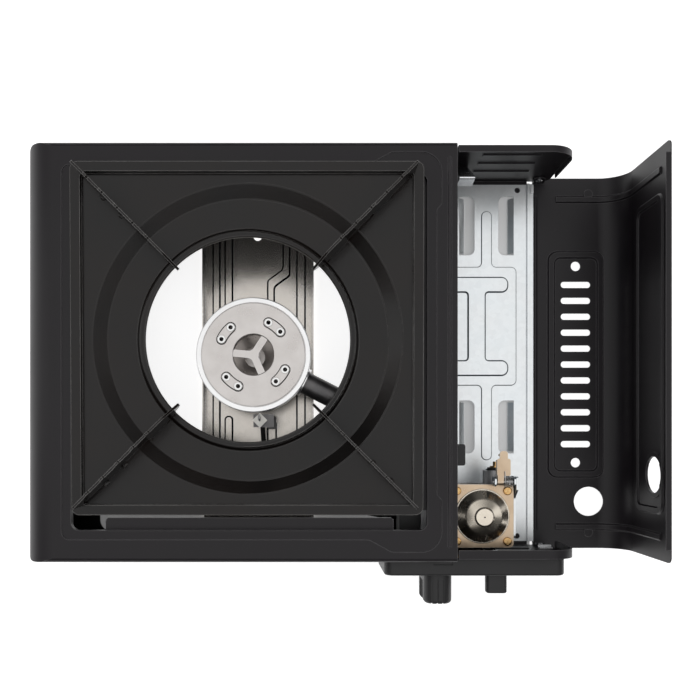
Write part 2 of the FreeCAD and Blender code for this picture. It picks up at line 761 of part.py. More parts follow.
def burner_bracket():
    """Folded channel that runs from front to rear under the burner."""
    x0 = bracket_centre_x - bracket_width / 2
    x1 = bracket_centre_x + bracket_width / 2
    z0, z1 = floor_top, floor_top + sheet
    plate = plan(rect(x0, x1, -bracket_half_length, bracket_half_length, 3), z0, z1)
    walls = [box(x, x + sheet, -bracket_wall_half, bracket_wall_half, z1 - sheet / 2, z1 + bracket_wall)
             for x in (x0, x1 - sheet)]
    low, high = z1 - sheet / 2, z1 + bracket_rib_height
    rib_end = bracket_half_length - 20
    long_half = bracket_half_length - 28
    middle = bracket_centre_x
    jogged = [(middle + 5.8, 34, 2), (middle + 11.6, 34, 2), (middle + 11.6, 54, 4),
              (middle + 22.7, 62, 4), (middle + 22.7, 104, 2), (middle + 16.8, 104, 2),
              (middle + 16.8, 67, 4), (middle + 5.8, 59, 4)]
    outlines = [rect(x0 + 6, x0 + 12, -long_half, long_half, 2.9),
                rect(x0 + 14.6, x0 + 21, 20, long_half, 3),
                rect(x0 + 14.6, x0 + 21, -long_half, -38, 3),
                rect(x1 - 12.6, x1 - 5.6, -long_half, long_half, 3.4),
                jogged, rect(middle + 5.8, middle + 13, -rib_end, -41, 3.5)]
    ribs = [pressed(corners, low, high, bracket_rib_slope) for corners in outlines]
    hole = rod((0.5, 90.5, z0 - 1), (0.5, 90.5, z1 + 3), 3.0)
    return join([plate] + walls + ribs).cut(hole)


def burner_stand():
    """Bridge that lifts the burner off the bracket."""
    z0 = floor_top + sheet
    z1 = z0 + stand_height
    half = stand_width / 2
    bridge = front([(-stand_half - stand_foot, z0, 0), (-stand_half - stand_foot, z0 + sheet, 0),
                    (-stand_half, z0 + sheet, 1), (-stand_half, z1, 4), (stand_half, z1, 4),
                    (stand_half, z0 + sheet, 1), (stand_half + stand_foot, z0 + sheet, 0),
                    (stand_half + stand_foot, z0, 0), (stand_half - sheet, z0, 1.8),
                    (stand_half - sheet, z1 - sheet, 3.2), (-stand_half + sheet, z1 - sheet, 3.2),
                    (-stand_half + sheet, z0, 1.8)], burner_x - half, burner_x + half)
    for sign in (-1, 1):
        x = burner_x + sign * 12
        bridge = bridge.cut(rod((x, 0, z1 - 3), (x, 0, z1 + 1), screw_radius))
    return bridge


def burner_screws():
    z1 = floor_top + sheet + stand_height
    return Part.makeCompound([pan_head_screw((burner_x + sign * 12, 0, z1 - sheet), (0, 0, -1),
                                             sheet + base_wall) for sign in (-1, 1)])


def mixer_path(start_reach):
    """Centre line of the mixer tube: out of the burner, one bend, then towards the valve."""
    z = cap_seat - base_height + mixer_height
    first = math.radians(-27)
    second = math.radians(-37)
    start = V(burner_x + start_reach * math.cos(first), start_reach * math.sin(first), z)
    bend = V(burner_x + mixer_bend * math.cos(first), mixer_bend * math.sin(first), z)
    end = bend + V(math.cos(second), math.sin(second), 0) * mixer_run
    return start, bend, end


def bent_pipe(points, bend_radius, radius):
    """Round bar along straight runs joined by tangent arcs."""
    edges = []
    last = points[0]
    for i in range(1, len(points) - 1):
        back = points[i - 1] - points[i]
        ahead = points[i + 1] - points[i]
        back.normalize()
        ahead.normalize()
        half = back.getAngle(ahead) / 2
        reach = bend_radius / math.tan(half)
        bisector = back + ahead
        bisector.normalize()
        middle = points[i] + bisector * (bend_radius / math.sin(half) - bend_radius)
        start, end = points[i] + back * reach, points[i] + ahead * reach
        edges.append(Part.LineSegment(last, start).toShape())
        edges.append(Part.Arc(start, middle, end).toShape())
        last = end
    edges.append(Part.LineSegment(last, points[-1]).toShape())
    path = Part.Wire(edges)
    heading = points[1] - points[0]
    circle = Part.Wire(Part.makeCircle(radius, points[0], heading))
    return path.makePipeShell([circle], True, False)


def mixer_tube():
    start, bend, end = mixer_path(mixer_start_reach)
    outer = bent_pipe([start, bend, end], mixer_bend_radius, mixer_radius)
    heading = end - bend
    heading.normalize()
    bell = Part.makeCone(mixer_radius, mixer_mouth, 8, end - heading * 8, heading)
    inner = bent_pipe([start, bend, end], mixer_bend_radius, mixer_radius - mixer_wall)
    bell_inner = Part.makeCone(mixer_radius - mixer_wall, mixer_mouth - mixer_wall, 8,
                               end - heading * 8, heading)
    return outer.fuse(bell).cut(inner).cut(bell_inner)


def burner_base():
    """Cast bowl with a round floor and a side port for the mixer tube."""
    z0 = cap_seat - base_height
    z1 = cap_seat
    bowl = turned([(0, z0, 0), (base_radius - 9, z0, 3), (base_radius, z0 + 9, 3), (base_radius, z1, 0.8),
                   (base_radius - base_wall, z1, 0.8), (base_radius - base_wall, z0 + 10, 3),
                   (base_radius - 10, z0 + base_wall, 3), (0, z0 + base_wall, 0)], burner_x, 0)
    start, bend, _ = mixer_path(mixer_start_reach)
    heading = bend - start
    heading.normalize()
    collar = Part.makeCylinder(mixer_radius + 2, 8, start, heading)
    inside = turned([(0, z0 + base_wall, 0), (base_radius - 10, z0 + base_wall, 3),
                     (base_radius - base_wall, z0 + 10, 3), (base_radius - base_wall, z1 + 1, 0),
                     (0, z1 + 1, 0)], burner_x, 0)
    port = Part.makeCylinder(mixer_radius, 20, start, heading)
    bowl = bowl.fuse(collar.cut(inside)).cut(port)
    for sign in (-1, 1):
        x = burner_x + sign * 12
        bowl = bowl.cut(rod((x, 0, z0 - 1), (x, 0, z0 + base_wall + 1), screw_radius))
    return bowl


def burner_cap():
    """Burner head: disc with a skirt of flame ports, and four raised lugs with two holes each."""
    z0 = cap_seat - 5
    inner = base_radius - base_wall - 0.2
    disc = turned([(cap_hole, z0 + 3, 0), (inner - 2, z0 + 3, 1), (inner - 2, z0, 0), (inner, z0, 0),
                   (inner, cap_seat, 0), (base_radius, cap_seat, 0.4),
                   (base_radius, cap_seat + cap_edge, 0.6),
                   (cap_radius + cap_groove, cap_top - cap_groove, 0.2),
                   (cap_radius + cap_groove, cap_top - 3 * cap_groove, 0),
                   (cap_radius, cap_top - 3 * cap_groove, 0), (cap_radius, cap_top, 0.3),
                   (cap_hole, cap_top, 0.8)], burner_x, 0)
    ports = []
    for i in range(port_count):
        port = box(inner - 4, base_radius + 1, -port_width / 2, port_width / 2, cap_seat - 1.8,
                   cap_seat + 0.9)
        port.rotate(V(0, 0, 0), V(0, 0, 1), 360 * i / port_count)
        port.translate(V(burner_x, 0, 0))
        ports.append(port)
    lugs = []
    holes = []
    for i in range(lug_count):
        angle = lug_first_angle + 360 * i / lug_count
        half = lug_hole_spacing / 2 / lug_radius
        radii = (lug_radius - lug_width / 2, lug_radius + lug_width / 2)
        ends = [[V(r * math.cos(a), r * math.sin(a), cap_top - 0.5) for a in (-half, 0, half)]
                for r in radii]
        middle = V(lug_radius * math.cos(half), lug_radius * math.sin(half), cap_top - 0.5)
        along = V(-math.sin(half), math.cos(half), 0) * lug_width / 2
        caps = [middle + along, V(middle.x + along.x, -middle.y - along.y, middle.z)]
        pad = Part.Face(Part.Wire([
            Part.Arc(*ends[1]).toShape(), Part.Arc(ends[1][2], caps[0], ends[0][2]).toShape(),
            Part.Arc(*ends[0]).toShape(), Part.Arc(ends[0][0], caps[1], ends[1][0]).toShape()]))
        lug = pad.extrude(V(0, 0, lug_height + 0.5))
        lug = lug.makeChamfer(lug_slope, [e for e in lug.Edges if all(
            abs(v.Z - cap_top - lug_height) < 1e-4 for v in e.Vertexes)])
        lug.rotate(V(0, 0, 0), V(0, 0, 1), angle)
        lug.translate(V(burner_x, 0, 0))
        lugs.append(lug)
        for sign in (-1, 1):
            hole_angle = math.radians(angle) + sign * lug_hole_spacing / 2 / lug_radius
            x = burner_x + lug_radius * math.cos(hole_angle)
            y = lug_radius * math.sin(hole_angle)
            holes.append(rod((x, y, cap_seat - 3), (x, y, cap_top + 3), lug_hole))
    return join([disc] + lugs).cut(Part.makeCompound(ports + holes))


def burner_spider():
    """Three-spoke guard in the cap's central opening."""
    z1 = cap_top - spider_drop
    z0 = z1 - 1.6
    spokes = []
    for angle in spoke_angles:
        spoke = box(0, cap_hole, -spoke_width / 2, spoke_width / 2, z0, z1)
        spoke.rotate(V(0, 0, 0), V(0, 0, 1), angle)
        spokes.append(spoke)
    hub = rod((0, 0, z0 - 1), (0, 0, z1), spoke_width * 0.75)
    spider = join([hub] + spokes).common(rod((0, 0, z0 - 2), (0, 0, z1 + 1), cap_hole))
    spider.translate(V(burner_x, 0, 0))
    return spider


def burner_throat():
    """Funnel below the central opening that feeds the inner ring of flames."""
    z1 = cap_seat - 2
    z0 = cap_seat - base_height + base_wall
    return turned([(throat_radius - 1.2, z0, 0), (throat_radius, z0, 0), (throat_radius, z0 + 8, 1),
                   (cap_hole + 2, z1, 0), (cap_hole + 0.6, z1, 0), (throat_radius - 1.2, z0 + 8.6, 1)],
                  burner_x, 0)


def jet():
    """Brass jet on the end of the gas pipe, aimed into the mouth of the mixer tube."""
    _, bend, end = mixer_path(mixer_start_reach)
    heading = end - bend
    heading.normalize()
    back = Part.makeCylinder(jet_radius + 1.2, 5, end + heading * 4, heading)
    nose = Part.makeCone(1.4, jet_radius, 5, end - heading, heading)
    bore = Part.makeCylinder(0.5, 11, end - heading * 1.5, heading)
    return back.fuse(nose).cut(bore)


def gas_pipe():
    """Steel pipe from the valve to the jet."""
    _, bend, end = mixer_path(mixer_start_reach)
    heading = end - bend
    heading.normalize()
    start = end + heading * 9
    corner = start + heading * 9
    low = V(corner.x, plate_y + 5, corner.z)
    return bent_pipe([start, corner, low], 7, 2.4)


# Igniter

def igniter_ceramic():
    half = ceramic_side / math.sqrt(2)
    flange = plan([(igniter_x + half, igniter_y, 0.6), (igniter_x, igniter_y + half, 0.6),
                   (igniter_x - half, igniter_y, 0.6), (igniter_x, igniter_y - half, 0.6)],
                  ceramic_top - ceramic_flange, ceramic_top)
    body = rod((igniter_x, igniter_y, ceramic_top - ceramic_length),
               (igniter_x, igniter_y, ceramic_top + 1.2), ceramic_radius)
    bore = rod((igniter_x, igniter_y, ceramic_top - ceramic_length - 1),
               (igniter_x, igniter_y, ceramic_top + 3), electrode_radius)
    return flange.fuse(body).cut(bore)


def igniter_electrode():
    low = ceramic_top - ceramic_length
    points = [V(igniter_x, igniter_y, low), V(igniter_x, igniter_y, cap_seat + 1.5),
              V(igniter_x - 0.5, igniter_y + 3.5, cap_seat + 2.5)]
    return bent_pipe(points, 1.6, electrode_radius)


def igniter_clip():
    """Bent strip that stands on the bracket beside the burner and holds the ceramic."""
    z = ceramic_top - ceramic_flange
    low = floor_top + sheet
    y1 = igniter_y + 4
    x0, x1 = igniter_x + 3.5, igniter_x + 9
    arm = box(igniter_x - 4.5, x1, igniter_y - 4.5, y1, z - sheet, z)
    post = box(x0, x1, y1 - sheet, y1, low, z)
    foot = box(x0, x1, y1 - 9, y1, low + bracket_rib_height, low + bracket_rib_height + sheet)
    post = post.cut(box(x0 - 1, x1 + 1, y1 - 2, y1 + 1, low - 1, low + bracket_rib_height))
    hole = rod((igniter_x, igniter_y, z - 3), (igniter_x, igniter_y, z + 1), ceramic_radius)
    return join([arm, post, foot]).cut(hole)


def igniter_wire_points():
    """Route of the lead from the ceramic, down to the base and across to the igniter."""
    low = ceramic_top - ceramic_length
    end_x = valve_x - arm_left - running_gap - piezo_width / 2
    end_y = plate_y - 4.4
    return [V(igniter_x, igniter_y, low), V(igniter_x, igniter_y, low - 14),
            V(igniter_x + 1, igniter_y - 24, low - 24), V(igniter_x + 20, igniter_y - 46, low - 28),
            V(igniter_x + 50, end_y + 8, low - 29), V(end_x - 18, end_y + 2, low - 28),
            V(end_x, end_y, low - 26), V(end_x, end_y, piezo_low)]


def igniter_wire():
    return bent_pipe(igniter_wire_points(), 8, wire_radius)


def piezo_igniter():
    end = igniter_wire_points()[-1]
    half = piezo_width / 2
    return plan(rect(end.x - half, end.x + half, end.y - 12, end.y + 8, 2), piezo_low, piezo_low + 18)


# Regulator

def plate_corners(half):
    return rect(plate_x - half, plate_x + half, plate_y - half, plate_y + half, 3)


def plate_screw_places():
    reach = plate_size / 2 - screw_inset
    return [(plate_x + i * reach, plate_y + j * reach) for i in (-1, 1) for j in (-1, 1)]


def regulator_plate():
    plate = plan(plate_corners(plate_size / 2), plate_top - plate_thickness, plate_top)
    plate = plate.cut(rod((plate_x, plate_y, plate_top - 5), (plate_x, plate_y, plate_top + 1),
                          dome_ring - 1))
    for x, y in plate_screw_places():
        plate = plate.cut(rod((x, y, plate_top - 5), (x, y, plate_top + 1), screw_radius))
    return plate


def plate_screws():
    return Part.makeCompound([pan_head_screw((x, y, plate_top), (0, 0, 1), plate_thickness + 3)
                              for x, y in plate_screw_places()])


def regulator_dome():
    """Pressed dome over the diaphragm, with a vented boss in the middle."""
    z0 = plate_top - plate_thickness
    z1 = plate_top + dome_height
    ring = dome_ring - 1
    shoulder_z = plate_top + dome_height * 0.62
    return turned([(dome_boss - 1, z1 - dome_sheet, 0.5), (dome_shoulder - 0.6, shoulder_z - 1.4, 4),
                   (ring - 2.2, z0, 0), (ring, z0, 0), (ring, plate_top + dome_sheet, 0.5),
                   (ring - 0.9, plate_top + dome_sheet, 0.5), (dome_shoulder, shoulder_z, 5),
                   (dome_boss, z1 - 1, 1), (dome_boss - 0.8, z1, 0.8), (0.5, z1, 0),
                   (0.5, z1 - dome_sheet, 0)], plate_x, plate_y)


def regulator_body():
    top = plate_top - plate_thickness
    body = rod((plate_x, plate_y, top - regulator_depth), (plate_x, plate_y, top), regulator_radius)
    flange = plan(plate_corners(plate_size / 2), top - 4, top)
    inlet_y = plate_y + regulator_radius
    inlet = rod((cartridge_x, plate_y, cartridge_z - 4), (cartridge_x, inlet_y + inlet_length,
                                                          cartridge_z - 4), inlet_radius)
    arm = plan(rect(valve_x - arm_left, plate_x, plate_y - 16, plate_y + 5, 3), valve_z - 8, valve_z + 11)
    boss_y = plate_y - 16
    boss = rod((valve_x, boss_y - 7, valve_z), (valve_x, boss_y + 2, valve_z), valve_boss)
    body = join([body, flange, inlet, arm, boss])
    cavity = rod((plate_x, plate_y, top - 9), (plate_x, plate_y, top + 1), cavity_radius)
    bore = rod((valve_x, boss_y - 8, valve_z), (valve_x, boss_y + 4, valve_z),
               spindle_radius + pin_clearance)
    nozzle_seat = rod((cartridge_x, inlet_y + inlet_length - 3, cartridge_z - 4),
                      (cartridge_x, inlet_y + inlet_length + 1, cartridge_z - 4), nozzle_radius)
    body = body.cut(cavity).cut(bore).cut(nozzle_seat)
    for x, y in plate_screw_places():
        body = body.cut(rod((x, y, top - 3), (x, y, top + 1), screw_radius))
    return body


def diaphragm():
    top = plate_top - plate_thickness
    return rod((plate_x, plate_y, top - 2.5), (plate_x, plate_y, top - 1.2), cavity_radius - 0.2)


def diaphragm_spring():
    """Hidden pressure spring under the dome, as a plain sleeve of its outer size."""
    low = plate_top - plate_thickness - 1.2
    outer = rod((plate_x, plate_y, low), (plate_x, plate_y, plate_top + dome_height - 2.2), 4.6)
    return outer.cut(rod((plate_x, plate_y, low - 1), (plate_x, plate_y, plate_top + 9), 3.4))


def inlet_nozzle():
    y0 = plate_y + regulator_radius + inlet_length - 3
    z = cartridge_z - 4
    shank = rod((cartridge_x, y0, z), (cartridge_x, y0 + nozzle_length, z), nozzle_radius)
    tip = rod((cartridge_x, y0 + nozzle_length, z), (cartridge_x, y0 + nozzle_length + 3, z), 2.2)
    bore = rod((cartridge_x, y0 - 1, z), (cartridge_x, y0 + nozzle_length + 4, z), nozzle_bore)
    return join([shank, tip]).cut(bore)


def inlet_seal():
    y0 = plate_y + regulator_radius + inlet_length
    z = cartridge_z - 4
    ring = rod((cartridge_x, y0, z), (cartridge_x, y0 + 2, z), nozzle_radius + 1.8)
    return ring.cut(rod((cartridge_x, y0 - 1, z), (cartridge_x, y0 + 3, z), nozzle_radius))


def regulator_stand():
    """Folded stand that carries the regulator on the bay's floor."""
    z1 = plate_top - plate_thickness - regulator_depth
    half = 13
    return front([(plate_y - half - 7, floor_top, 0), (plate_y - half - 7, floor_top + 1.2, 0),
                  (plate_y - half, floor_top + 1.2, 1), (plate_y - half, z1, 3),
                  (plate_y + half, z1, 3), (plate_y + half, floor_top + 1.2, 1),
                  (plate_y + half + 7, floor_top + 1.2, 0), (plate_y + half + 7, floor_top, 0),
                  (plate_y + half - 1.2, floor_top, 2.2), (plate_y + half - 1.2, z1 - 1.2, 1.8),
                  (plate_y - half + 1.2, z1 - 1.2, 1.8), (plate_y - half + 1.2, floor_top, 2.2)],
                 plate_x - 12, plate_x + 12)


# Control panel, knob and lever

def control_panel():
    """Moulded panel on the front, hollow behind, with a spindle hole and a lever slot."""
    back = half_depth + running_gap
    block = side(rect(panel_left, panel_right, panel_low, panel_high, panel_radius),
                 -panel_front, -back)
    block = block.makeFillet(1.5, [e for e in block.Edges
                                   if all(abs(v.Point.y + panel_front) < 0.01 for v in e.Vertexes)])
    hollow = side(rect(panel_left + panel_wall, panel_right - panel_wall, panel_low + panel_wall,
                       panel_high - panel_wall, panel_radius - panel_wall),
                  -panel_front + panel_wall, -back + 1)
    tongue = box(body_right + 2, panel_right - 12, -back - 2, -wall_y - running_gap,
                 panel_low + 0.5, panel_low + 4)
    upper = box(body_right + 2, panel_right - 12, -back - 2, -wall_y - running_gap,
                panel_high - 4, panel_high - 0.5)
    panel = join([block.cut(hollow), tongue, upper])
    spindle = rod((valve_x, -panel_front - 1, valve_z), (valve_x, -panel_front + 4, valve_z),
                  spindle_radius + 1)
    slot = box(lever_x - lever_neck / 2 - 0.6, lever_x + lever_neck / 2 + 0.6, -panel_front - 1,
               -panel_front + 4, lever_z - lever_travel - 3.6, lever_z + 3.6)
    window = box(valve_x - 4.5, valve_x + 8, -panel_front + 7, -panel_front + 9.2,
                 panel_high - 1.0, panel_high + 1)
    return panel.cut(spindle).cut(slot).cut(window)


def knob():
    """Bar knob with a rounded outline, drawn upright in its off position."""
    y1 = -panel_front - knob_gap
    y0 = y1 - knob_reach
    half_w = knob_width / 2
    half_l = knob_length / 2
    bar = side(rect(valve_x - half_w, valve_x + half_w, valve_z - half_l, valve_z + half_l, half_w * 0.8),
               y0, y1)
    bar = bar.makeFillet(2.5, [e for e in bar.Edges
                               if all(abs(v.Point.y - y0) < 0.01 for v in e.Vertexes)])
    grooves = []
    for i in range(3):
        x = valve_x - 0.8 + (i - 1) * 3.6
        grooves.append(box(x - 0.5, x + 0.5, y0 - 1, y1 - 3, valve_z + half_l - 0.8, valve_z + half_l + 1))
        grooves.append(box(x - 0.5, x + 0.5, y0 - 1, y0 + 0.8, valve_z - half_l - 1, valve_z + half_l + 1))
    waist = []
    for sign in (-1, 1):
        x = valve_x + sign * (half_w + 8)
        waist.append(rod((x, y0 - 1, valve_z), (x, y1 - 5, valve_z), 11))
    bore = rod((valve_x, y1 + 1, valve_z), (valve_x, y1 - 14, valve_z), spindle_radius)
    return bar.cut(Part.makeCompound(grooves + waist)).cut(bore)


def valve_spindle():
    y0 = -panel_front - knob_gap - 14
    y1 = plate_y - 16 + 3
    return rod((valve_x, y0, valve_z), (valve_x, y1, valve_z), spindle_radius)


def lock_lever():
    """Finger tab of the locking lever, with the neck that passes through the panel's slot."""
    y1 = -panel_front - knob_gap
    y0 = y1 - lever_reach
    tab = side(rect(lever_x - lever_width / 2, lever_x + lever_width / 2, lever_z - lever_height / 2,
                    lever_z + lever_height / 2, 2.5), y0, y1)
    tab = tab.makeFillet(1.2, [e for e in tab.Edges
                               if all(abs(v.Point.y - y0) < 0.01 for v in e.Vertexes)])
    neck = box(lever_x - lever_neck / 2, lever_x + lever_neck / 2, y1 - 1, -panel_front + panel_wall + 1,
               lever_z - 3, lever_z + 3)
    return join([tab, neck])


def lever_plate():
    """Steel slide behind the panel that the tab drives."""
    y0 = -panel_front + panel_wall + 1
    plate = box(lever_x - 8, lever_x + 8, y0, y0 + 1.2, lever_z - 8, lever_z + 7)
    tongue = box(lever_x - 2, lever_x + 2, y0, -wall_y + 2.5, lever_z - 2, lever_z + 2)
    return join([plate, tongue])


# Cartridge hook and its carriage

def hook_carriage():
    """Folded carriage beside the regulator plate, with two ears for the hook's pin."""
    z0 = plate_top + running_gap
    strip_x = plate_x + plate_size / 2 + 0.6
    y1 = hook_pin_y + 3.3
    strip = front([(plate_y - 15, 36, 2), (y1, 36, 2), (y1, z0 + 5, 1), (y1 - 9, z0 + 5, 1),
                   (y1 - 14, 46, 3), (plate_y - 15, 46, 2)], strip_x, strip_x + 1.2)
    left = cartridge_x - hook_width / 2 - 1.6
    cross = box(left, strip_x + 1.2, y1 - 1.2, y1, z0 + 0.3, z0 + 2.3)
    ear_low = z0 + screw_head_height
    ears = []
    for x in (left, strip_x - 2.4):
        ear = front([(hook_pin_y - 3, ear_low, 1), (y1, ear_low, 0), (y1, hook_pin_z + 3, 2),
                     (hook_pin_y - 3, hook_pin_z + 3, 2)], x, x + 1.2)
        ears.append(ear)
    carriage = join([strip, cross] + ears)
    hole = rod((left - 1, hook_pin_y, hook_pin_z), (strip_x, hook_pin_y, hook_pin_z), hook_pin_radius)
    return carriage.cut(hole)


def hook_pin_ends():
    left = cartridge_x - hook_width / 2 - 1.6
    return left - 0.8, plate_x + plate_size / 2 - 0.2


def hook_pin():
    left, right = hook_pin_ends()
    return rod((left, hook_pin_y, hook_pin_z), (right, hook_pin_y, hook_pin_z), hook_pin_radius)


def cartridge_hook():
    """Sheet hook whose turned-down tip catches the cartridge's collar."""
    half = hook_width / 2
    z0, z1 = hook_z, hook_z + 1.2
    y1 = hook_pin_y + hook_length
    neck = hook_width * 0.3
    arm = plan([(cartridge_x - half, hook_pin_y + 4, 1), (cartridge_x + half, hook_pin_y + 4, 1),
                (cartridge_x + half, y1 - 5, 1.5), (cartridge_x - half, y1 - 5, 1.5)], z0, z1)
    tip = plan(rect(cartridge_x - neck, cartridge_x + neck, y1 - 8, y1, neck * 0.8), z0, z1)
    claw = box(cartridge_x - neck, cartridge_x + neck, y1 - 3.4, y1 - 2.2, z0 - 3.5, z0 + 0.4)
    left = cartridge_x - half + 0.4
    barrel = rod((left, hook_pin_y, hook_pin_z), (cartridge_x, hook_pin_y, hook_pin_z), hook_barrel)
    root = box(left, cartridge_x, hook_pin_y, hook_pin_y + 5, z0, z1)
    skirt = [box(x, x + 0.8, hook_pin_y + 5, y1 - 6, z0 - 2.5, z0 + 0.4)
             for x in (cartridge_x - half, cartridge_x + half - 0.8)]
    bore = rod((left - 1, hook_pin_y, hook_pin_z), (cartridge_x + 1, hook_pin_y, hook_pin_z),
               hook_pin_radius + pin_clearance)
    return join([arm, tip, claw, barrel, root] + skirt).cut(bore)


def biarc(p0, t0, p1, t1):
    """Two arcs that join p0 to p1 and are tangent to t0 and t1."""
    chord = p1 - p0
    mean = t0 + t1
    a = 2 * (1 - t0.dot(t1))
    b = 2 * chord.dot(mean)
    c = -chord.dot(chord)
    reach = (-b + math.sqrt(b * b - 4 * a * c)) / (2 * a) if a > 1e-9 else -c / b
    joint = (p0 + t0 * reach + p1 - t1 * reach) * 0.5
    return [half_arc(p0, t0, joint), half_arc(joint, None, p1, t1)]


def half_arc(start, heading, end, last_heading=None):
    """Arc from start to end that leaves along heading or arrives along last_heading."""
    chord = end - start
    if heading is None:
        heading = last_heading - chord * (2 * chord.dot(last_heading) / chord.dot(chord))
        heading = heading * -1
    across = chord * 0.5
    flat = chord.cross(heading)
    if flat.Length < 1e-9:
        return Part.LineSegment(start, end).toShape()
    side_way = flat.cross(chord)
    side_way.normalize()
    angle = heading.getAngle(chord)
    rise = across.Length * math.tan(angle / 2)
    return Part.Arc(start, start + across + side_way * rise, end).toShape()


def hook_spring():
    """Torsion spring beside the hook's barrel: close turns about the pin and two straight legs."""
    start_x = cartridge_x + 0.9
    count = int(spring_turns * 4)

    def point(i):
        angle = math.pi / 2 * i
        return V(start_x + spring_pitch * i / 4, hook_pin_y - spring_radius * math.sin(angle),
                 hook_pin_z + spring_radius * math.cos(angle))

    def heading(i):
        angle = math.pi / 2 * i
        way = V(spring_pitch / (2 * math.pi), -spring_radius * math.cos(angle),
                -spring_radius * math.sin(angle))
        way.normalize()
        return way

    first = point(0) - heading(0) * 7
    last = point(count) + heading(count) * 2
    edges = [Part.LineSegment(first, point(0)).toShape()]
    for i in range(count):
        edges += biarc(point(i), heading(i), point(i + 1), heading(i + 1))
    edges.append(Part.LineSegment(point(count), last).toShape())
    circle = Part.Wire(Part.makeCircle(spring_wire / 2, first, heading(0)))
    print("hook spring: gap between turns", round(spring_pitch - spring_wire, 2), "mm")
    return Part.Wire(edges).makePipeShell([circle], True, False)


# Drip pan and its four support blades, drawn level and then laid as in the photograph

def lay_on_opening(shape):
    shape.rotate(V(0, -pan_floor_half, 0), V(1, 0, 0), pan_tilt)
    shape.translate(V(pan_x, pan_y, pan_front_z))
    return shape


def drip_pan():
    inner_half = pan_floor_half - sheet
    join_radius = step_outer + 1.5
    floor = plan(square(0, 0, pan_floor_half, pan_radius - 1), 0, sheet)
    floor = floor.cut(rod((0, 0, -1), (0, 0, 2), join_radius - 0.4))
    wall = plan(square(0, 0, pan_floor_half, pan_radius - 1), 0, pan_depth)
    wall = wall.cut(plan(square(0, 0, inner_half, pan_radius - 1.6), -1, pan_depth + 1))
    rim = plan(square(0, 0, pan_half, pan_radius), pan_depth - sheet, pan_depth)
    rim = rim.cut(plan(square(0, 0, inner_half, pan_radius - 1.6), -1, pan_depth + 1))
    lip = plan(square(0, 0, pan_half, pan_radius), pan_depth - pan_lip, pan_depth)
    lip = lip.cut(plan(square(0, 0, pan_half - sheet, pan_radius - sheet), 0, pan_depth + 1))
    bead = pan_bead_height - step_drop
    shift = sheet * math.tan(math.atan2(step_drop, step_outer - step_inner) / 2)
    dish = turned([(pan_hole, bead - 1.2, 0), (pan_hole, bead + sheet, 1),
                   (pan_bead - 2, bead + sheet, 1.4), (pan_bead, sheet - step_drop, 1),
                   (step_inner, sheet - step_drop, 2), (step_outer, sheet, 2),
                   (join_radius, sheet, 0), (join_radius, 0, 0), (step_outer + shift, 0, 2),
                   (step_inner + shift, -step_drop, 2), (pan_bead - 0.7, -step_drop, 1),
                   (pan_bead - 2.6, bead, 0.8), (pan_hole + sheet, bead, 0.2),
                   (pan_hole + sheet, bead - 1.2, 0)], 0, 0)
    return lay_on_opening(join([floor, wall, rim, lip, dish]))


def pan_support(index):
    """Pressed blade with a toothed edge, three feet and a nose over the pan's hole."""
    foot = sheet
    mid = (step_outer + blade_outer) / 2 - 4
    inner_foot = sheet - step_drop
    bead_top = inner_foot + pan_bead_height + 0.8
    points = [(blade_outer, pan_depth, 1), (blade_outer, blade_top, 2)]
    for i in reversed(range(tooth_count)):
        r = tooth_first + i * tooth_pitch
        points += [(r + tooth_length / 2, blade_top, 0), (r + tooth_length / 4, blade_top + tooth_height, 0),
                   (r - tooth_length / 4, blade_top + tooth_height, 0), (r - tooth_length / 2, blade_top, 0)]
    points += [(blade_inner + 14, blade_top, 10), (blade_inner, blade_top - 9, 2.5),
               (blade_inner + 2, blade_top - 14, 2.5), (pan_bead + 2, bead_top, 2), (pan_bead + 4, inner_foot, 1),
               (step_inner - 3, inner_foot, 1), (step_inner, blade_arch, 2), (mid - 9, blade_arch, 2),
               (mid - 7, foot, 1), (mid + 7, foot, 1), (mid + 9, blade_arch, 2),
               (blade_outer - 6, blade_arch, 2), (blade_outer - 5, pan_depth, 0.8)]
    blade = side(points, -blade_thickness / 2, blade_thickness / 2)
    blade.rotate(V(0, 0, 0), V(0, 0, 1), 45 + 90 * index)
    return lay_on_opening(blade)


parts = {
    "top_cover": top_cover(),
    "base_frame": base_frame(),
    "cover_screws": cover_screws(),
    "feet": feet(),
    "bay_floor": bay_floor(),
    "rear_end_wall": end_wall(wall_rim_rear),
    "front_end_wall": front_end_wall(),
    "heat_shield": heat_shield(),
    "cartridge_guide": cartridge_guide(),
    "cartridge_clip": cartridge_clip(),
    "lid": lid(),
    "lid_hinge_pins": lid_hinge_pins(),
    "burner_bracket": burner_bracket(),
    "burner_stand": burner_stand(),
    "burner_screws": burner_screws(),
    "burner_base": burner_base(),
    "burner_cap": burner_cap(),
    "burner_spider": burner_spider(),
    "burner_throat": burner_throat(),
    "mixer_tube": mixer_tube(),
    "jet": jet(),
    "gas_pipe": gas_pipe(),
    "igniter_ceramic": igniter_ceramic(),
    "igniter_electrode": igniter_electrode(),
    "igniter_clip": igniter_clip(),
    "igniter_wire": igniter_wire(),
    "piezo_igniter": piezo_igniter(),
    "regulator_body": regulator_body(),
    "regulator_plate": regulator_plate(),
    "regulator_dome": regulator_dome(),
    "plate_screws": plate_screws(),
    "diaphragm": diaphragm(),
    "diaphragm_spring": diaphragm_spring(),
    "inlet_nozzle": inlet_nozzle(),
    "inlet_seal": inlet_seal(),
    "regulator_stand": regulator_stand(),
    "control_panel": control_panel(),
    "knob": knob(),
    "valve_spindle": valve_spindle(),
    "lock_lever": lock_lever(),
    "lever_plate": lever_plate(),
    "hook_carriage": hook_carriage(),
    "hook_pin": hook_pin(),
    "cartridge_hook": cartridge_hook(),
    "hook_spring": hook_spring(),
    "drip_pan": drip_pan(),
}
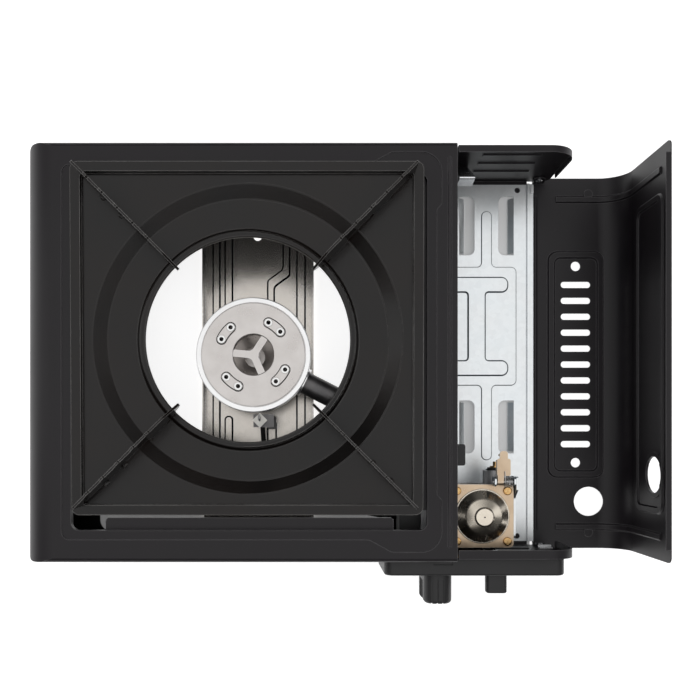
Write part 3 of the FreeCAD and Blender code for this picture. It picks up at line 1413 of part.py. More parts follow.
for index in range(4):
    parts["pan_support_%d" % (index + 1)] = pan_support(index)

# The origin is the middle of the whole footprint, on the table
whole = Part.makeCompound(list(parts.values())).BoundBox
shift = V(-(whole.XMin + whole.XMax) / 2, -(whole.YMin + whole.YMax) / 2, -whole.ZMin)
print("shift", [round(c, 3) for c in shift], "size", [round(whole.XLength, 1), round(whole.YLength, 1),
                                                      round(whole.ZLength, 1)])

os.makedirs("parts", exist_ok=True)
for name, shape in parts.items():
    shape.translate(shift)
    if not shape.isValid():
        print("not valid:", name)
    print(name, "solids", len(shape.Solids), "volume", round(shape.Volume, 1))
    shape.exportStep("parts/%s.step" % name)
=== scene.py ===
import bpy
import math
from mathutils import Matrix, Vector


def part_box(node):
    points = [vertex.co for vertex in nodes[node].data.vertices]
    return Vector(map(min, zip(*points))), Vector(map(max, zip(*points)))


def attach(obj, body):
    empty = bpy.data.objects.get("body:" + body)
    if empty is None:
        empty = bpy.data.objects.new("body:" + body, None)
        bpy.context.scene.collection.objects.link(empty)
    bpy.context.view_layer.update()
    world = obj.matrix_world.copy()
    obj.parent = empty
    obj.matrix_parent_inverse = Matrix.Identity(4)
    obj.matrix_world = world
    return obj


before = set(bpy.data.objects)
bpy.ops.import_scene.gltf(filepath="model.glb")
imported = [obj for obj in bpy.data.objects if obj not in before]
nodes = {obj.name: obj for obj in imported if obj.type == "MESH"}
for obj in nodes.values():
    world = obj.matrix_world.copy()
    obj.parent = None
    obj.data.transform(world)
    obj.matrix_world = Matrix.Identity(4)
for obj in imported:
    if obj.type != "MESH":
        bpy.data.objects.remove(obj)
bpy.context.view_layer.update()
MM = 0.001


# Base frame. A shallow tray of folded sheet steel with a rectangular opening, powder coated
# black on both sides, which the top cover is screwed to.

def shader_group(name, inputs, outputs):
    """Empty node group with named sockets; inputs and outputs are (name, kind, value)."""
    group = bpy.data.node_groups.new(name, "ShaderNodeTree")
    for socket, kind, value in inputs:
        made = group.interface.new_socket(socket, in_out="INPUT", socket_type=kind)
        made.default_value = value
    for socket, kind in outputs:
        group.interface.new_socket(socket, in_out="OUTPUT", socket_type=kind)
    return group


def put(tree, kind, values=None, **settings):
    """Adds a node, sets its own settings and fills or links its inputs by name or number."""
    made = tree.nodes.new(kind)
    for key, value in settings.items():
        setattr(made, key, value)
    for key, value in (values or {}).items():
        if isinstance(value, bpy.types.NodeSocket):
            tree.links.new(value, made.inputs[key])
        else:
            made.inputs[key].default_value = value
    return made


def patches_group():
    """Slow drift of tone over a surface, as a value from 0 to 1."""
    group = shader_group("tone_patches", [("Patch Size", "NodeSocketFloat", 0.03)],
                         [("Value", "NodeSocketFloat")])
    enter = put(group, "NodeGroupInput")
    place = put(group, "ShaderNodeTexCoord")
    scale = put(group, "ShaderNodeMath", {0: 1.0, 1: enter.outputs[0]}, operation="DIVIDE")
    noise = put(group, "ShaderNodeTexNoise", {"Vector": place.outputs["Object"],
                                              "Scale": scale.outputs[0], "Detail": 4.0})
    spread = put(group, "ShaderNodeMapRange", {"Value": noise.outputs["Fac"], "From Min": 0.3,
                                               "From Max": 0.7})
    put(group, "NodeGroupOutput", {0: spread.outputs[0]})
    return group


def grain_group():
    """Fine grain, stretched along an axis when Stretch is uneven. Height is in units of 0 to 1."""
    group = shader_group("surface_grain", [("Grain Size", "NodeSocketFloat", 0.0005),
                                           ("Stretch", "NodeSocketVector", (1, 1, 1))],
                         [("Height", "NodeSocketFloat")])
    enter = put(group, "NodeGroupInput")
    place = put(group, "ShaderNodeTexCoord")
    scale = put(group, "ShaderNodeMath", {0: 1.0, 1: enter.outputs[0]}, operation="DIVIDE")
    drawn = put(group, "ShaderNodeVectorMath", {0: place.outputs["Object"], 1: enter.outputs[1]},
                operation="MULTIPLY")
    noise = put(group, "ShaderNodeTexNoise", {"Vector": drawn.outputs[0],
                                              "Scale": scale.outputs[0], "Detail": 2.0})
    put(group, "NodeGroupOutput", {0: noise.outputs["Fac"]})
    return group


def edge_group():
    """Mask of the outer edges and creases, where a lighter tone paints a highlight."""
    group = shader_group("edge_mask", [("Radius", "NodeSocketFloat", 0.0006),
                                       ("Gain", "NodeSocketFloat", 3.0)],
                         [("Mask", "NodeSocketFloat")])
    enter = put(group, "NodeGroupInput")
    rounded = put(group, "ShaderNodeBevel", {"Radius": enter.outputs[0]}, samples=4)
    flat = put(group, "ShaderNodeNewGeometry")
    same = put(group, "ShaderNodeVectorMath", {0: rounded.outputs[0], 1: flat.outputs["Normal"]},
               operation="DOT_PRODUCT")
    away = put(group, "ShaderNodeMath", {0: 1.0, 1: same.outputs["Value"]}, operation="SUBTRACT")
    mask = put(group, "ShaderNodeMath", {0: away.outputs[0], 1: enter.outputs[1]},
               operation="MULTIPLY", use_clamp=True)
    put(group, "NodeGroupOutput", {0: mask.outputs[0]})
    return group


def flank_group():
    """Mask of the steep flanks between two heights of sheet, above the height Level only."""
    group = shader_group("flank_mask", [("Start", "NodeSocketFloat", 0.985),
                                        ("Full", "NodeSocketFloat", 0.90),
                                        ("Level", "NodeSocketFloat", 0.0)],
                         [("Mask", "NodeSocketFloat")])
    enter = put(group, "NodeGroupInput")
    flat = put(group, "ShaderNodeNewGeometry")
    parts = put(group, "ShaderNodeSeparateXYZ", {0: flat.outputs["Normal"]})
    level = put(group, "ShaderNodeMath", {0: parts.outputs["Z"]}, operation="ABSOLUTE")
    mask = put(group, "ShaderNodeMapRange", {"Value": level.outputs[0], "From Min": enter.outputs[0],
                                             "From Max": enter.outputs[1]})
    place = put(group, "ShaderNodeTexCoord")
    spot = put(group, "ShaderNodeSeparateXYZ", {0: place.outputs["Object"]})
    above = put(group, "ShaderNodeMath", {0: spot.outputs[2], 1: enter.outputs[2]},
                operation="GREATER_THAN")
    mask = put(group, "ShaderNodeMath", {0: mask.outputs[0], 1: above.outputs[0]},
               operation="MULTIPLY")
    put(group, "NodeGroupOutput", {0: mask.outputs[0]})
    return group


tone_patches = patches_group()
surface_grain = grain_group()
edge_mask = edge_group()
flank_mask = flank_group()


def use_group(tree, group, **values):
    made = tree.nodes.new("ShaderNodeGroup")
    made.node_tree = group
    for key, value in values.items():
        made.inputs[key.replace("_", " ")].default_value = value
    return made


def make_finish(name, dark, light, rough, patch, grain, depth, metallic=0.0, stretch=(1, 1, 1),
                edge=None, edge_rough=None, edge_radius=0.5 * MM, edge_gain=3.0, flank=None,
                flank_level=0.0, **plain):
    """Material that drifts between two tones and two roughnesses, with a grain in its surface.

    edge is the tone along outer edges and creases, a painted highlight, and flank the tone of
    steep flanks above flank_level, a painted shade; plain sets the shader's own sockets.
    """
    material = bpy.data.materials.new(name)
    material.use_nodes = True
    tree = material.node_tree
    shader = tree.nodes["Principled BSDF"]
    shader.inputs["Metallic"].default_value = metallic
    for key, value in plain.items():
        shader.inputs[key.replace("_", " ")].default_value = value
    drift = use_group(tree, tone_patches, Patch_Size=patch)
    tone = put(tree, "ShaderNodeMix", {0: drift.outputs[0], 6: (*dark, 1), 7: (*light, 1)},
               data_type="RGBA")
    gloss = put(tree, "ShaderNodeMapRange", {"Value": drift.outputs[0], "To Min": rough[0],
                                             "To Max": rough[1]})
    colour, dull = tone.outputs[2], gloss.outputs[0]
    # Painted shade: steep flanks above flank_level take the darker flank tone.
    if flank:
        steep = use_group(tree, flank_mask, Level=flank_level)
        colour = put(tree, "ShaderNodeMix", {0: steep.outputs[0], 6: colour, 7: (*flank, 1)},
                     data_type="RGBA").outputs[2]
    # Painted highlight: outer edges and creases take the lighter edge tone.
    if edge:
        edge_highlight = use_group(tree, edge_mask, Radius=edge_radius, Gain=edge_gain)
        colour = put(tree, "ShaderNodeMix", {0: edge_highlight.outputs[0], 6: colour, 7: (*edge, 1)},
                     data_type="RGBA").outputs[2]
        if edge_rough:
            dull = put(tree, "ShaderNodeMix", {0: edge_highlight.outputs[0], 2: dull, 3: edge_rough}).outputs[0]
    tree.links.new(colour, shader.inputs["Base Color"])
    tree.links.new(dull, shader.inputs["Roughness"])
    fine = use_group(tree, surface_grain, Grain_Size=grain, Stretch=stretch)
    bump = put(tree, "ShaderNodeBump", {"Strength": 1.0, "Distance": depth,
                                        "Height": fine.outputs[0]})
    tree.links.new(bump.outputs[0], shader.inputs["Normal"])
    return material


def coat(material, *names):
    """Gives CAD nodes the material through their own slots."""
    for name in names:
        for slot in nodes[name].material_slots:
            slot.material = material


# The lighter edge tone, at a high gain, paints highlight lines along the cover's edges and embossed
# lines.
powder_coat = make_finish("powder_coat", (0.010, 0.008, 0.010), (0.014, 0.011, 0.014),
                          (0.38, 0.44), 40 * MM, 0.5 * MM, 0.010 * MM,
                          edge=(0.11, 0.105, 0.11), edge_gain=9.0, edge_radius=0.8 * MM,
                          Specular_IOR_Level=0.35)
coat(powder_coat, "base_frame")


# Feet. Four moulded black rubber feet under the corners of the base frame.

soft_rubber = make_finish("soft_rubber", (0.012, 0.012, 0.012), (0.022, 0.021, 0.021),
                          (0.65, 0.8), 6 * MM, 0.3 * MM, 0.02 * MM, edge=(0.04, 0.04, 0.04))
coat(soft_rubber, "feet")


# Bay floor. A tray of galvanised sheet with pressed ridges, four louvres whose flaps are bent
# down, and a raised strip along the lid's side.

def spangled_zinc(name, dark, light, rough, cell, flank, flank_level=0.0):
    """Galvanised sheet: pale metal whose crystals differ a little in tone."""
    material = make_finish(name, dark, light, rough, 25 * MM, 0.35 * MM, 0.006 * MM, metallic=0.85,
                           edge=(0.86, 0.88, 0.90), edge_rough=0.25, flank=flank,
                           flank_level=flank_level)
    tree = material.node_tree
    shader = tree.nodes["Principled BSDF"]
    place = put(tree, "ShaderNodeTexCoord")
    cells = put(tree, "ShaderNodeTexVoronoi", {"Vector": place.outputs["Object"],
                                               "Scale": 1 / cell})
    split = put(tree, "ShaderNodeSeparateColor", {0: cells.outputs["Color"]})
    lift = put(tree, "ShaderNodeMapRange", {"Value": split.outputs[0], "To Min": 0.97,
                                            "To Max": 1.02})
    old = shader.inputs["Base Color"].links[0].from_socket
    tinted = put(tree, "ShaderNodeVectorMath", {0: old, "Scale": lift.outputs[0]},
                 operation="SCALE")
    tree.links.new(tinted.outputs[0], shader.inputs["Base Color"])
    return material


# The darker flank tone paints shade on the steep flanks of the pressed ridges.
galvanised = spangled_zinc("galvanised", (0.86, 0.90, 0.92), (0.93, 0.95, 0.96), (0.30, 0.38),
                           3 * MM, (0.16, 0.20, 0.23), 4.6 * MM)
coat(galvanised, "bay_floor")


# Rear and front end walls of the bay, and the heat shield between it and the burner. The walls
# are powder coated and pressed with ribs; the shield is bare galvanised sheet.

coat(powder_coat, "rear_end_wall", "front_end_wall")
coat(galvanised, "heat_shield")


# Burner bracket and stand. The bracket is a galvanised channel with stiffening ribs that runs
# from front to rear; the stand is a bridge screwed under the burner.

# A darker, browner copy of the galvanised finish, which paints shade and a brown reflection of the
# pan; its near-black flank tone paints shade on the steep walls.
shaded_bracket_zinc = spangled_zinc("shaded_bracket_zinc", (0.62, 0.58, 0.53), (0.76, 0.72, 0.67),
                             (0.20, 0.28), 3 * MM, (0.03, 0.03, 0.035))
coat(shaded_bracket_zinc, "burner_bracket", "burner_stand", "regulator_stand")


# Burner. A die-cast aluminium bowl and a turned cap with four raised lugs, a three-spoke guard
# and a ring of slots. The outer faces are machined and keep fine lathe lines, and each lug hole
# has a bright countersunk rim.

cap_low, cap_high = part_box("burner_cap")
burner_x = (cap_low.x + cap_high.x) / 2
burner_y = (cap_low.y + cap_high.y) / 2
cap_rim_radius = 34.1 * MM
lug_radius, lug_first, lug_half_angle = 22.9 * MM, 52.2, 12.26
lug_rim_inner, lug_rim_outer, lug_rim_height = 1.45 * MM, 2.5 * MM, 0.25 * MM
lug_rim_sink = 0.05 * MM


def turned_lines(material, pitch, depth, rim=None):
    """Adds lathe lines about the burner's axis, and a brighter cut outside the radius rim."""
    tree = material.node_tree
    shader = tree.nodes["Principled BSDF"]
    place = put(tree, "ShaderNodeTexCoord")
    centred = put(tree, "ShaderNodeVectorMath", {0: place.outputs["Object"],
                                                 1: (burner_x, burner_y, 0)}, operation="SUBTRACT")
    flat = put(tree, "ShaderNodeVectorMath", {0: centred.outputs[0], 1: (1, 1, 0)},
               operation="MULTIPLY")
    radius = put(tree, "ShaderNodeVectorMath", {0: flat.outputs[0]}, operation="LENGTH")
    rings = put(tree, "ShaderNodeTexNoise", {"W": radius.outputs["Value"], "Scale": 1 / pitch,
                                             "Detail": 2.0}, noise_dimensions="1D")
    old = shader.inputs["Normal"].links[0].from_socket
    bump = put(tree, "ShaderNodeBump", {"Strength": 1.0, "Distance": depth,
                                        "Height": rings.outputs["Fac"], "Normal": old})
    tree.links.new(bump.outputs[0], shader.inputs["Normal"])
    if rim:
        outside = put(tree, "ShaderNodeMath", {0: radius.outputs["Value"], 1: rim},
                      operation="GREATER_THAN")
        old = shader.inputs["Base Color"].links[0].from_socket
        tone = put(tree, "ShaderNodeMix", {0: outside.outputs[0], 6: old, 7: (0.95, 0.95, 0.95, 1)},
                   data_type="RGBA")
        tree.links.new(tone.outputs[2], shader.inputs["Base Color"])
    return material


turned_aluminium = turned_lines(
    make_finish("turned_aluminium", (0.58, 0.55, 0.53), (0.68, 0.65, 0.63), (0.26, 0.34), 12 * MM,
                0.3 * MM, 0.006 * MM, metallic=0.95, edge=(0.90, 0.90, 0.90), edge_rough=0.2),
    0.4 * MM, 0.004 * MM, rim=cap_rim_radius)
coat(turned_aluminium, "burner_base", "burner_cap", "burner_spider", "burner_throat")

polished_rim = make_finish("polished_rim", (0.90, 0.90, 0.89), (0.96, 0.96, 0.95), (0.30, 0.40),
                           6 * MM, 0.25 * MM, 0.004 * MM, metallic=0.9)


def settle(piece, body, material, angle=40):
    """Bakes a modelled piece's place into its mesh, gives it its finish and lets it ride."""
    bpy.ops.object.select_all(action="DESELECT")
    piece.select_set(True)
    bpy.context.view_layer.objects.active = piece
    bpy.ops.object.transform_apply(location=True, rotation=True, scale=True)
    bpy.ops.object.shade_smooth_by_angle(angle=math.radians(angle))
    piece.data.materials.append(material)
    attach(piece, body)


def rim_ring(name, centre, inner, outer, height):
    """Countersunk rim round a hole: a flat ring with a sloping outer edge."""
    bpy.ops.object.select_all(action="DESELECT")
    x, y, z = centre
    bpy.ops.mesh.primitive_circle_add(vertices=28, radius=inner, location=(x, y, z + height))
    ring = bpy.context.object
    ring.name = name
    bpy.ops.object.mode_set(mode="EDIT")
    bpy.ops.mesh.select_all(action="SELECT")
    spread, flare = outer / inner, 1.1
    for down, scale in ((0, spread), (height, flare), (0, 1 / spread / flare), (-height, 1)):
        bpy.ops.mesh.extrude_region_move(TRANSFORM_OT_translate={"value": (0, 0, -down)})
        bpy.ops.transform.resize(value=(scale, scale, 1), center_override=(x, y, z))
    bpy.ops.mesh.select_all(action="SELECT")
    bpy.ops.mesh.remove_doubles(threshold=0.00002)
    bpy.ops.mesh.normals_make_consistent(inside=False)
    bpy.ops.object.mode_set(mode="OBJECT")
    return ring


for turn in range(4):
    for side in (-1, 1):
        way = math.radians(lug_first + 90 * turn + side * lug_half_angle)
        spot = (burner_x + lug_radius * math.cos(way), burner_y + lug_radius * math.sin(way),
                cap_high.z - lug_rim_sink)
        rim = rim_ring("lug_rim_%d" % (2 * turn + (side + 3) // 2), spot, lug_rim_inner,
                       lug_rim_outer, lug_rim_height)
        settle(rim, "chassis", polished_rim)

zinc_plate = make_finish("zinc_plate", (0.70, 0.71, 0.73), (0.82, 0.83, 0.85), (0.18, 0.28), 8 * MM,
                         0.25 * MM, 0.005 * MM, metallic=0.95, edge=(0.92, 0.92, 0.92))
coat(zinc_plate, "burner_screws", "cover_screws")


# Mixer tube, throat, gas pipe and jet. Gas leaves the brass jet at the end of the steel pipe,
# draws air into the bell of the dark steel tube and reaches the bowl and the throat.

dark_tube = make_finish("dark_tube", (0.09, 0.088, 0.09), (0.16, 0.155, 0.155), (0.30, 0.42),
                        10 * MM, 0.3 * MM, 0.006 * MM, metallic=0.8, edge=(0.25, 0.25, 0.25))
coat(dark_tube, "mixer_tube")

drawn_steel = make_finish("drawn_steel", (0.42, 0.42, 0.43), (0.58, 0.57, 0.56), (0.20, 0.32),
                          5 * MM, 0.2 * MM, 0.005 * MM, metallic=0.95, edge=(0.75, 0.75, 0.75))
coat(drawn_steel, "gas_pipe")

brass = make_finish("brass", (0.58, 0.34, 0.13), (0.76, 0.48, 0.22), (0.16, 0.28), 4 * MM,
                    0.2 * MM, 0.006 * MM, metallic=0.95, edge=(0.95, 0.78, 0.42))
coat(brass, "jet")


# Igniter. A glazed white ceramic holds the bent electrode beside the burner; its black lead runs
# down to the base and across to the piezo block behind the control panel.

glazed_ceramic = make_finish("glazed_ceramic", (0.74, 0.72, 0.67), (0.84, 0.82, 0.77), (0.14, 0.22),
                             3 * MM, 0.4 * MM, 0.01 * MM, edge=(0.9, 0.89, 0.86), Coat_Weight=0.4)
coat(glazed_ceramic, "igniter_ceramic")
coat(dark_tube, "igniter_clip")
coat(drawn_steel, "igniter_electrode")
coat(soft_rubber, "igniter_wire")


# Moulded black plastic: guide block, piezo block, control panel, knob and lever. Injection
# moulded with a fine spark-eroded texture.

moulded_plastic = make_finish("moulded_plastic", (0.010, 0.010, 0.011), (0.016, 0.015, 0.016),
                              (0.40, 0.50), 20 * MM, 0.35 * MM, 0.02 * MM,
                              edge=(0.035, 0.035, 0.036), edge_radius=0.4 * MM)
coat(moulded_plastic, "cartridge_guide", "piezo_igniter", "control_panel", "knob", "lock_lever")
coat(drawn_steel, "valve_spindle")
coat(zinc_plate, "lever_plate")


# Regulator. A cast zinc body with a pale nickel-plated square plate, a polished dome over the
# diaphragm and four brass screws; the brass nozzle and its seal face the cartridge.

cast_zinc = make_finish("cast_zinc", (0.36, 0.36, 0.37), (0.48, 0.48, 0.49), (0.38, 0.52), 9 * MM,
                        0.6 * MM, 0.03 * MM, metallic=0.85, edge=(0.62, 0.62, 0.62))
satin_nickel = make_finish("satin_nickel", (0.56, 0.42, 0.29), (0.68, 0.53, 0.38), (0.26, 0.36),
                           12 * MM, 0.25 * MM, 0.006 * MM, metallic=0.9, edge=(0.85, 0.78, 0.68))
polished_nickel = make_finish("polished_nickel", (0.72, 0.65, 0.55), (0.82, 0.75, 0.64),
                              (0.24, 0.30), 10 * MM, 1.5 * MM, 0.003 * MM, metallic=1.0,
                              edge=(0.90, 0.85, 0.78))
coat(cast_zinc, "regulator_body")
coat(satin_nickel, "regulator_plate")
coat(polished_nickel, "regulator_dome")
coat(brass, "plate_screws", "inlet_nozzle")
coat(soft_rubber, "inlet_seal", "diaphragm")
coat(drawn_steel, "diaphragm_spring")


# Hook. A pale pressed hook on a pin and a torsion spring, carried by a zinc carriage that the
# locking lever draws towards the regulator.

coat(satin_nickel, "cartridge_hook")
coat(drawn_steel, "hook_spring", "hook_pin")
coat(galvanised, "hook_carriage")


# Cartridge clip. A bright bent leaf riveted to the rear wall, which presses the cartridge
# forwards on to the nozzle.

coat(zinc_plate, "cartridge_clip")


# Top cover. One deep-drawn powder-coated shell: top, left side and both skirts, with a square
# opening and a shallow rebate for the pan.

coat(powder_coat, "top_cover")


# Lid, hinge pins and tabs. A curved powder-coated sheet with vents and two round holes, rolled
# over along its lower edge and hinged there on bright rivets. The chassis ends in a small zinc
# tab beside each hinge.

coat(powder_coat, "lid")
coat(zinc_plate, "lid_hinge_pins")


def folded_strip(name, low, high, edges, width, segments=4):
    """Strip between two corners whose edges that pass the test are rolled over to a radius."""
    bpy.ops.object.select_all(action="DESELECT")
    middle = [(a + b) / 2 for a, b in zip(low, high)]
    bpy.ops.mesh.primitive_plane_add(size=1, location=(middle[0], middle[1], low[2]))
    strip = bpy.context.object
    strip.name = name
    strip.scale = (high[0] - low[0], high[1] - low[1], 1)
    bpy.ops.object.transform_apply(location=True, rotation=True, scale=True)
    bpy.ops.object.mode_set(mode="EDIT")
    bpy.ops.mesh.select_all(action="SELECT")
    bpy.ops.mesh.extrude_region_move(TRANSFORM_OT_translate={"value": (0, 0, high[2] - low[2])})
    bpy.ops.mesh.select_all(action="SELECT")
    bpy.ops.mesh.normals_make_consistent(inside=False)
    bpy.ops.mesh.select_all(action="DESELECT")
    bpy.ops.mesh.select_mode(type="EDGE")
    bpy.ops.object.mode_set(mode="OBJECT")
    for edge in strip.data.edges:
        ends = [strip.data.vertices[i].co for i in edge.vertices]
        edge.select = edges((ends[0] + ends[1]) / 2)
    bpy.ops.object.mode_set(mode="EDIT")
    bpy.ops.mesh.bevel(offset=width, segments=segments, affect="EDGES")
    bpy.ops.object.mode_set(mode="OBJECT")
    return strip


def near(value, target):
    return abs(value - target) < 0.1 * MM


lid_low, lid_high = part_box("lid")
roll_left, roll_right, roll_inset = 139.6 * MM, 142.9 * MM, 13 * MM
roll_low = (roll_left, lid_low.y + roll_inset, lid_low.z + 0.5 * MM)
roll_high = (roll_right, lid_high.y - roll_inset, lid_low.z + 2.9 * MM)
edge_roll = folded_strip("lid_edge_roll", roll_low, roll_high,
                         lambda spot: near(spot.z, roll_high[2])
                         and near(spot.y, (roll_low[1] + roll_high[1]) / 2), 1.6 * MM, 6)
settle(edge_roll, "lid", powder_coat)

tab_left, tab_right = 138.0 * MM, 147.2 * MM
tab_low, tab_high = (tab_left, -116.4 * MM, 21.0 * MM), (tab_right, -113.9 * MM, 21.8 * MM)
front_tab = folded_strip("hinge_tab_front", tab_low, tab_high,
                         lambda spot: near(spot.x, tab_right)
                         and near(spot.z, (tab_low[2] + tab_high[2]) / 2), 0.8 * MM)
leaf_low, leaf_high = (tab_left, -116.1 * MM, 21.5 * MM), (tab_right, -115.4 * MM, 26.0 * MM)
leaf = folded_strip("hinge_leaf", leaf_low, leaf_high,
                    lambda spot: near(spot.z, leaf_high[2]), 0.2 * MM, 2)
bpy.ops.object.select_all(action="DESELECT")
leaf.select_set(True)
front_tab.select_set(True)
bpy.context.view_layer.objects.active = front_tab
bpy.ops.object.join()
tab_zinc = make_finish("tab_zinc", (0.80, 0.81, 0.82), (0.92, 0.92, 0.93), (0.30, 0.40), 4 * MM,
                       0.25 * MM, 0.005 * MM, metallic=0.2)
settle(front_tab, "chassis", tab_zinc)
rear_low, rear_high = (136.9 * MM, 135.6 * MM, 5.9 * MM), (138.9 * MM, 141.4 * MM, 7.4 * MM)
rear_tab = folded_strip("hinge_tab_rear", rear_low, rear_high,
                        lambda spot: near(spot.z, rear_high[2]), 0.4 * MM)
settle(rear_tab, "chassis", tab_zinc)


# Drip pan and pot supports. Pressed steel in glossy black enamel, whose melted surface keeps a
# slight orange peel. The four toothed blades are welded on and dipped with it, so their weld
# beads show under the enamel.

def vitreous_enamel():
    """Glossy black enamel with an orange peel that comes and goes, and a painted brown reflection
    where it does.
    """
    # The pale edge tone, at a high gain, paints thin highlight lines along the pan's rims and blade
    # tops.
    material = make_finish("vitreous_enamel", (0.0035, 0.003, 0.003), (0.006, 0.005, 0.005),
                           (0.16, 0.24), 30 * MM, 4.0 * MM, 0.03 * MM, edge=(0.34, 0.33, 0.32),
                           edge_rough=0.30, edge_radius=0.7 * MM, edge_gain=16.0,
                           Specular_IOR_Level=0.36)
    tree = material.node_tree
    shader = tree.nodes["Principled BSDF"]
    area = use_group(tree, tone_patches, Patch_Size=55 * MM)
    peel = use_group(tree, surface_grain, Grain_Size=0.9 * MM)
    height = put(tree, "ShaderNodeMath", {0: area.outputs[0], 1: peel.outputs[0]},
                 operation="MULTIPLY")
    wavy = put(tree, "ShaderNodeBump", {"Strength": 1.0, "Distance": 0.09 * MM,
                                        "Height": height.outputs[0],
                                        "Normal": shader.inputs["Normal"].links[0].from_socket})
    tree.links.new(wavy.outputs[0], shader.inputs["Normal"])
    # Painted reflection: a brown tint where the orange peel is strong.
    reflection_share = put(tree, "ShaderNodeMath", {0: area.outputs[0], 1: 0.7}, operation="MULTIPLY")
    brown_reflection = put(tree, "ShaderNodeMix", {0: reflection_share.outputs[0],
                                       6: shader.inputs["Base Color"].links[0].from_socket,
                                       7: (0.011, 0.006, 0.004, 1)}, data_type="RGBA")
    tree.links.new(brown_reflection.outputs[2], shader.inputs["Base Color"])
    return material


enamel = vitreous_enamel()
coat(enamel, "drip_pan", "pan_support_1", "pan_support_2", "pan_support_3", "pan_support_4")


def weld_bead(name, spot, angle, size):
    """Drop of weld under the enamel: a flattened half drop, cut off level with the pan."""
    bpy.ops.object.select_all(action="DESELECT")
    bpy.ops.mesh.primitive_uv_sphere_add(segments=16, ring_count=10, radius=1, location=spot)
    bead = bpy.context.object
    bead.name = name
    bead.scale = size
    bead.rotation_euler = (0, 0, angle)
    bpy.ops.object.transform_apply(location=True, rotation=True, scale=True)
    bpy.ops.object.mode_set(mode="EDIT")
    bpy.ops.mesh.select_all(action="SELECT")
    foot = spot[2] - 0.2 * MM
    bpy.ops.mesh.bisect(plane_co=(spot[0], spot[1], foot), plane_no=(0, 0, 1), clear_inner=True,
                        use_fill=True)
    bpy.ops.object.mode_set(mode="OBJECT")
    return bead


pan_low, pan_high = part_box("drip_pan")
pan_x, pan_y = (pan_low.x + pan_high.x) / 2, (pan_low.y + pan_high.y) / 2
weld_slope, weld_level = 0.01985, 72.2 * MM
weld_reaches, weld_offset = (112 * MM, 128 * MM), 1.5 * MM
weld_size = (2.4 * MM, 1.3 * MM, 1.3 * MM)
for turn in range(4):
    way = math.radians(45 + 90 * turn)
    across = way + math.pi / 2
    for number, reach in enumerate(weld_reaches):
        x = pan_x + reach * math.cos(way) + weld_offset * math.cos(across)
        y = pan_y + reach * math.sin(way) + weld_offset * math.sin(across)
        bead = weld_bead("weld_%d" % (2 * turn + number + 1),
                         (x, y, weld_level + (y - pan_y) * weld_slope), way, weld_size)
        settle(bead, "pan", enamel)


# Studio. A white floor that keeps the stove's shadow and has a painted shadow under the bay and the
# front gap, a soft world that is brightest straight above, two wide lamps and the camera over the
# burner.

# Painted shadow: the floor glows less in these two boxes, under the bay and the front gap.
under_bay = (102, 12, 0), (36, 133, 1)
under_front_gap = (-70, -107, 0), (134, 14, 1)
floor_glow, painted_shadow_glow = 0.8, 0.12


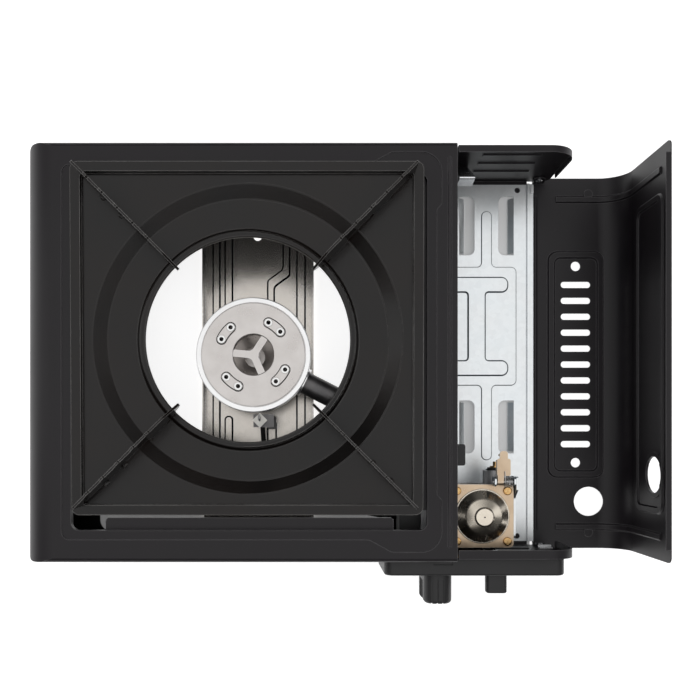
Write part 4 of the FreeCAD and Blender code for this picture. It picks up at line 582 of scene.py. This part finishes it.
def white_floor():
    """Plane that is white to the camera, and greyer in two boxes of painted shadow, as middle and half
    size in mm.
    """
    bpy.ops.object.select_all(action="DESELECT")
    bpy.ops.mesh.primitive_plane_add(size=60, location=(0, 0, 0))
    floor = bpy.context.object
    floor.name = "studio_floor"
    material = bpy.data.materials.new("studio_white")
    material.use_nodes = True
    tree = material.node_tree
    tree.nodes.remove(tree.nodes["Principled BSDF"])
    paths = put(tree, "ShaderNodeLightPath")
    seen = put(tree, "ShaderNodeMath", {0: paths.outputs["Is Camera Ray"],
                                        1: paths.outputs["Is Glossy Ray"]}, operation="MAXIMUM")
    seen = put(tree, "ShaderNodeMath", {0: seen.outputs[0],
                                        1: paths.outputs["Is Transmission Ray"]},
               operation="MAXIMUM")
    paper = put(tree, "ShaderNodeBsdfDiffuse", {"Color": (0.8, 0.8, 0.8, 1)})
    place = put(tree, "ShaderNodeTexCoord")
    shaded = []
    for middle, half in (under_bay, under_front_gap):
        away = put(tree, "ShaderNodeVectorMath", {0: place.outputs["Object"],
                                                  1: [v * MM for v in middle]}, operation="SUBTRACT")
        away = put(tree, "ShaderNodeVectorMath", {0: away.outputs[0]}, operation="ABSOLUTE")
        away = put(tree, "ShaderNodeVectorMath", {0: away.outputs[0], 1: [1 / v / MM for v in half]},
                   operation="MULTIPLY")
        parts = put(tree, "ShaderNodeSeparateXYZ", {0: away.outputs[0]})
        far = put(tree, "ShaderNodeMath", {0: parts.outputs[0], 1: parts.outputs[1]},
                  operation="MAXIMUM")
        shaded.append(put(tree, "ShaderNodeMath", {0: far.outputs[0], 1: 1.0},
                          operation="LESS_THAN").outputs[0])
    under = put(tree, "ShaderNodeMath", {0: shaded[0], 1: shaded[1]}, operation="MAXIMUM")
    power = put(tree, "ShaderNodeMapRange", {"Value": under.outputs[0], "To Min": floor_glow,
                                             "To Max": painted_shadow_glow})
    glow = put(tree, "ShaderNodeEmission", {"Color": (1, 1, 1, 1), "Strength": power.outputs[0]})
    lit = put(tree, "ShaderNodeAddShader", {0: paper.outputs[0], 1: glow.outputs[0]})
    mix = put(tree, "ShaderNodeMixShader", {0: seen.outputs[0], 1: paper.outputs[0],
                                            2: lit.outputs[0]})
    tree.links.new(mix.outputs[0], tree.nodes["Material Output"].inputs["Surface"])
    floor.data.materials.append(material)


def soft_world():
    """World that is brightest straight above and dark towards the horizon."""
    world = bpy.data.worlds.new("studio_world")
    world.use_nodes = True
    tree = world.node_tree
    place = put(tree, "ShaderNodeTexCoord")
    parts = put(tree, "ShaderNodeSeparateXYZ", {0: place.outputs["Generated"]})
    shade = put(tree, "ShaderNodeMapRange", {"Value": parts.outputs["Z"], "From Min": 0.64,
                                             "From Max": 0.86, "To Min": 0.09, "To Max": 1.02},
                interpolation_type="SMOOTHSTEP")
    back = tree.nodes["Background"]
    back.inputs["Color"].default_value = (1, 1, 1, 1)
    tree.links.new(shade.outputs[0], back.inputs["Strength"])
    bpy.context.scene.world = world


def soft_lamp(name, place, size, power, aim):
    lamp = bpy.data.lights.new(name, "AREA")
    lamp.shape = "RECTANGLE"
    lamp.size, lamp.size_y = size
    lamp.energy = power
    made = bpy.data.objects.new(name, lamp)
    bpy.context.scene.collection.objects.link(made)
    made.location = place
    direction = made.location - type(made.location)(aim)
    made.rotation_euler = direction.to_track_quat("Z", "Y").to_euler()


white_floor()
soft_world()
lamp_size, lamp_aim = (0.8, 1.8), (0, 0, 0)
soft_lamp("lamp_left", (-1.6, 0.2, 0.6), lamp_size, 5, lamp_aim)
soft_lamp("lamp_right", (1.6, 0.2, 0.6), lamp_size, 4, lamp_aim)

camera = bpy.data.cameras.new("camera")
camera.sensor_width = 36
camera.lens = 41.68
camera.shift_x = 0.0571
camera.shift_y = 0.1329
camera.clip_start = 0.01
viewer = bpy.data.objects.new("camera", camera)
bpy.context.scene.collection.objects.link(viewer)
viewer.location = (-0.02105, -0.04305, 0.587)
bpy.context.scene.camera = viewer
bpy.context.scene.view_settings.view_transform = "Standard"
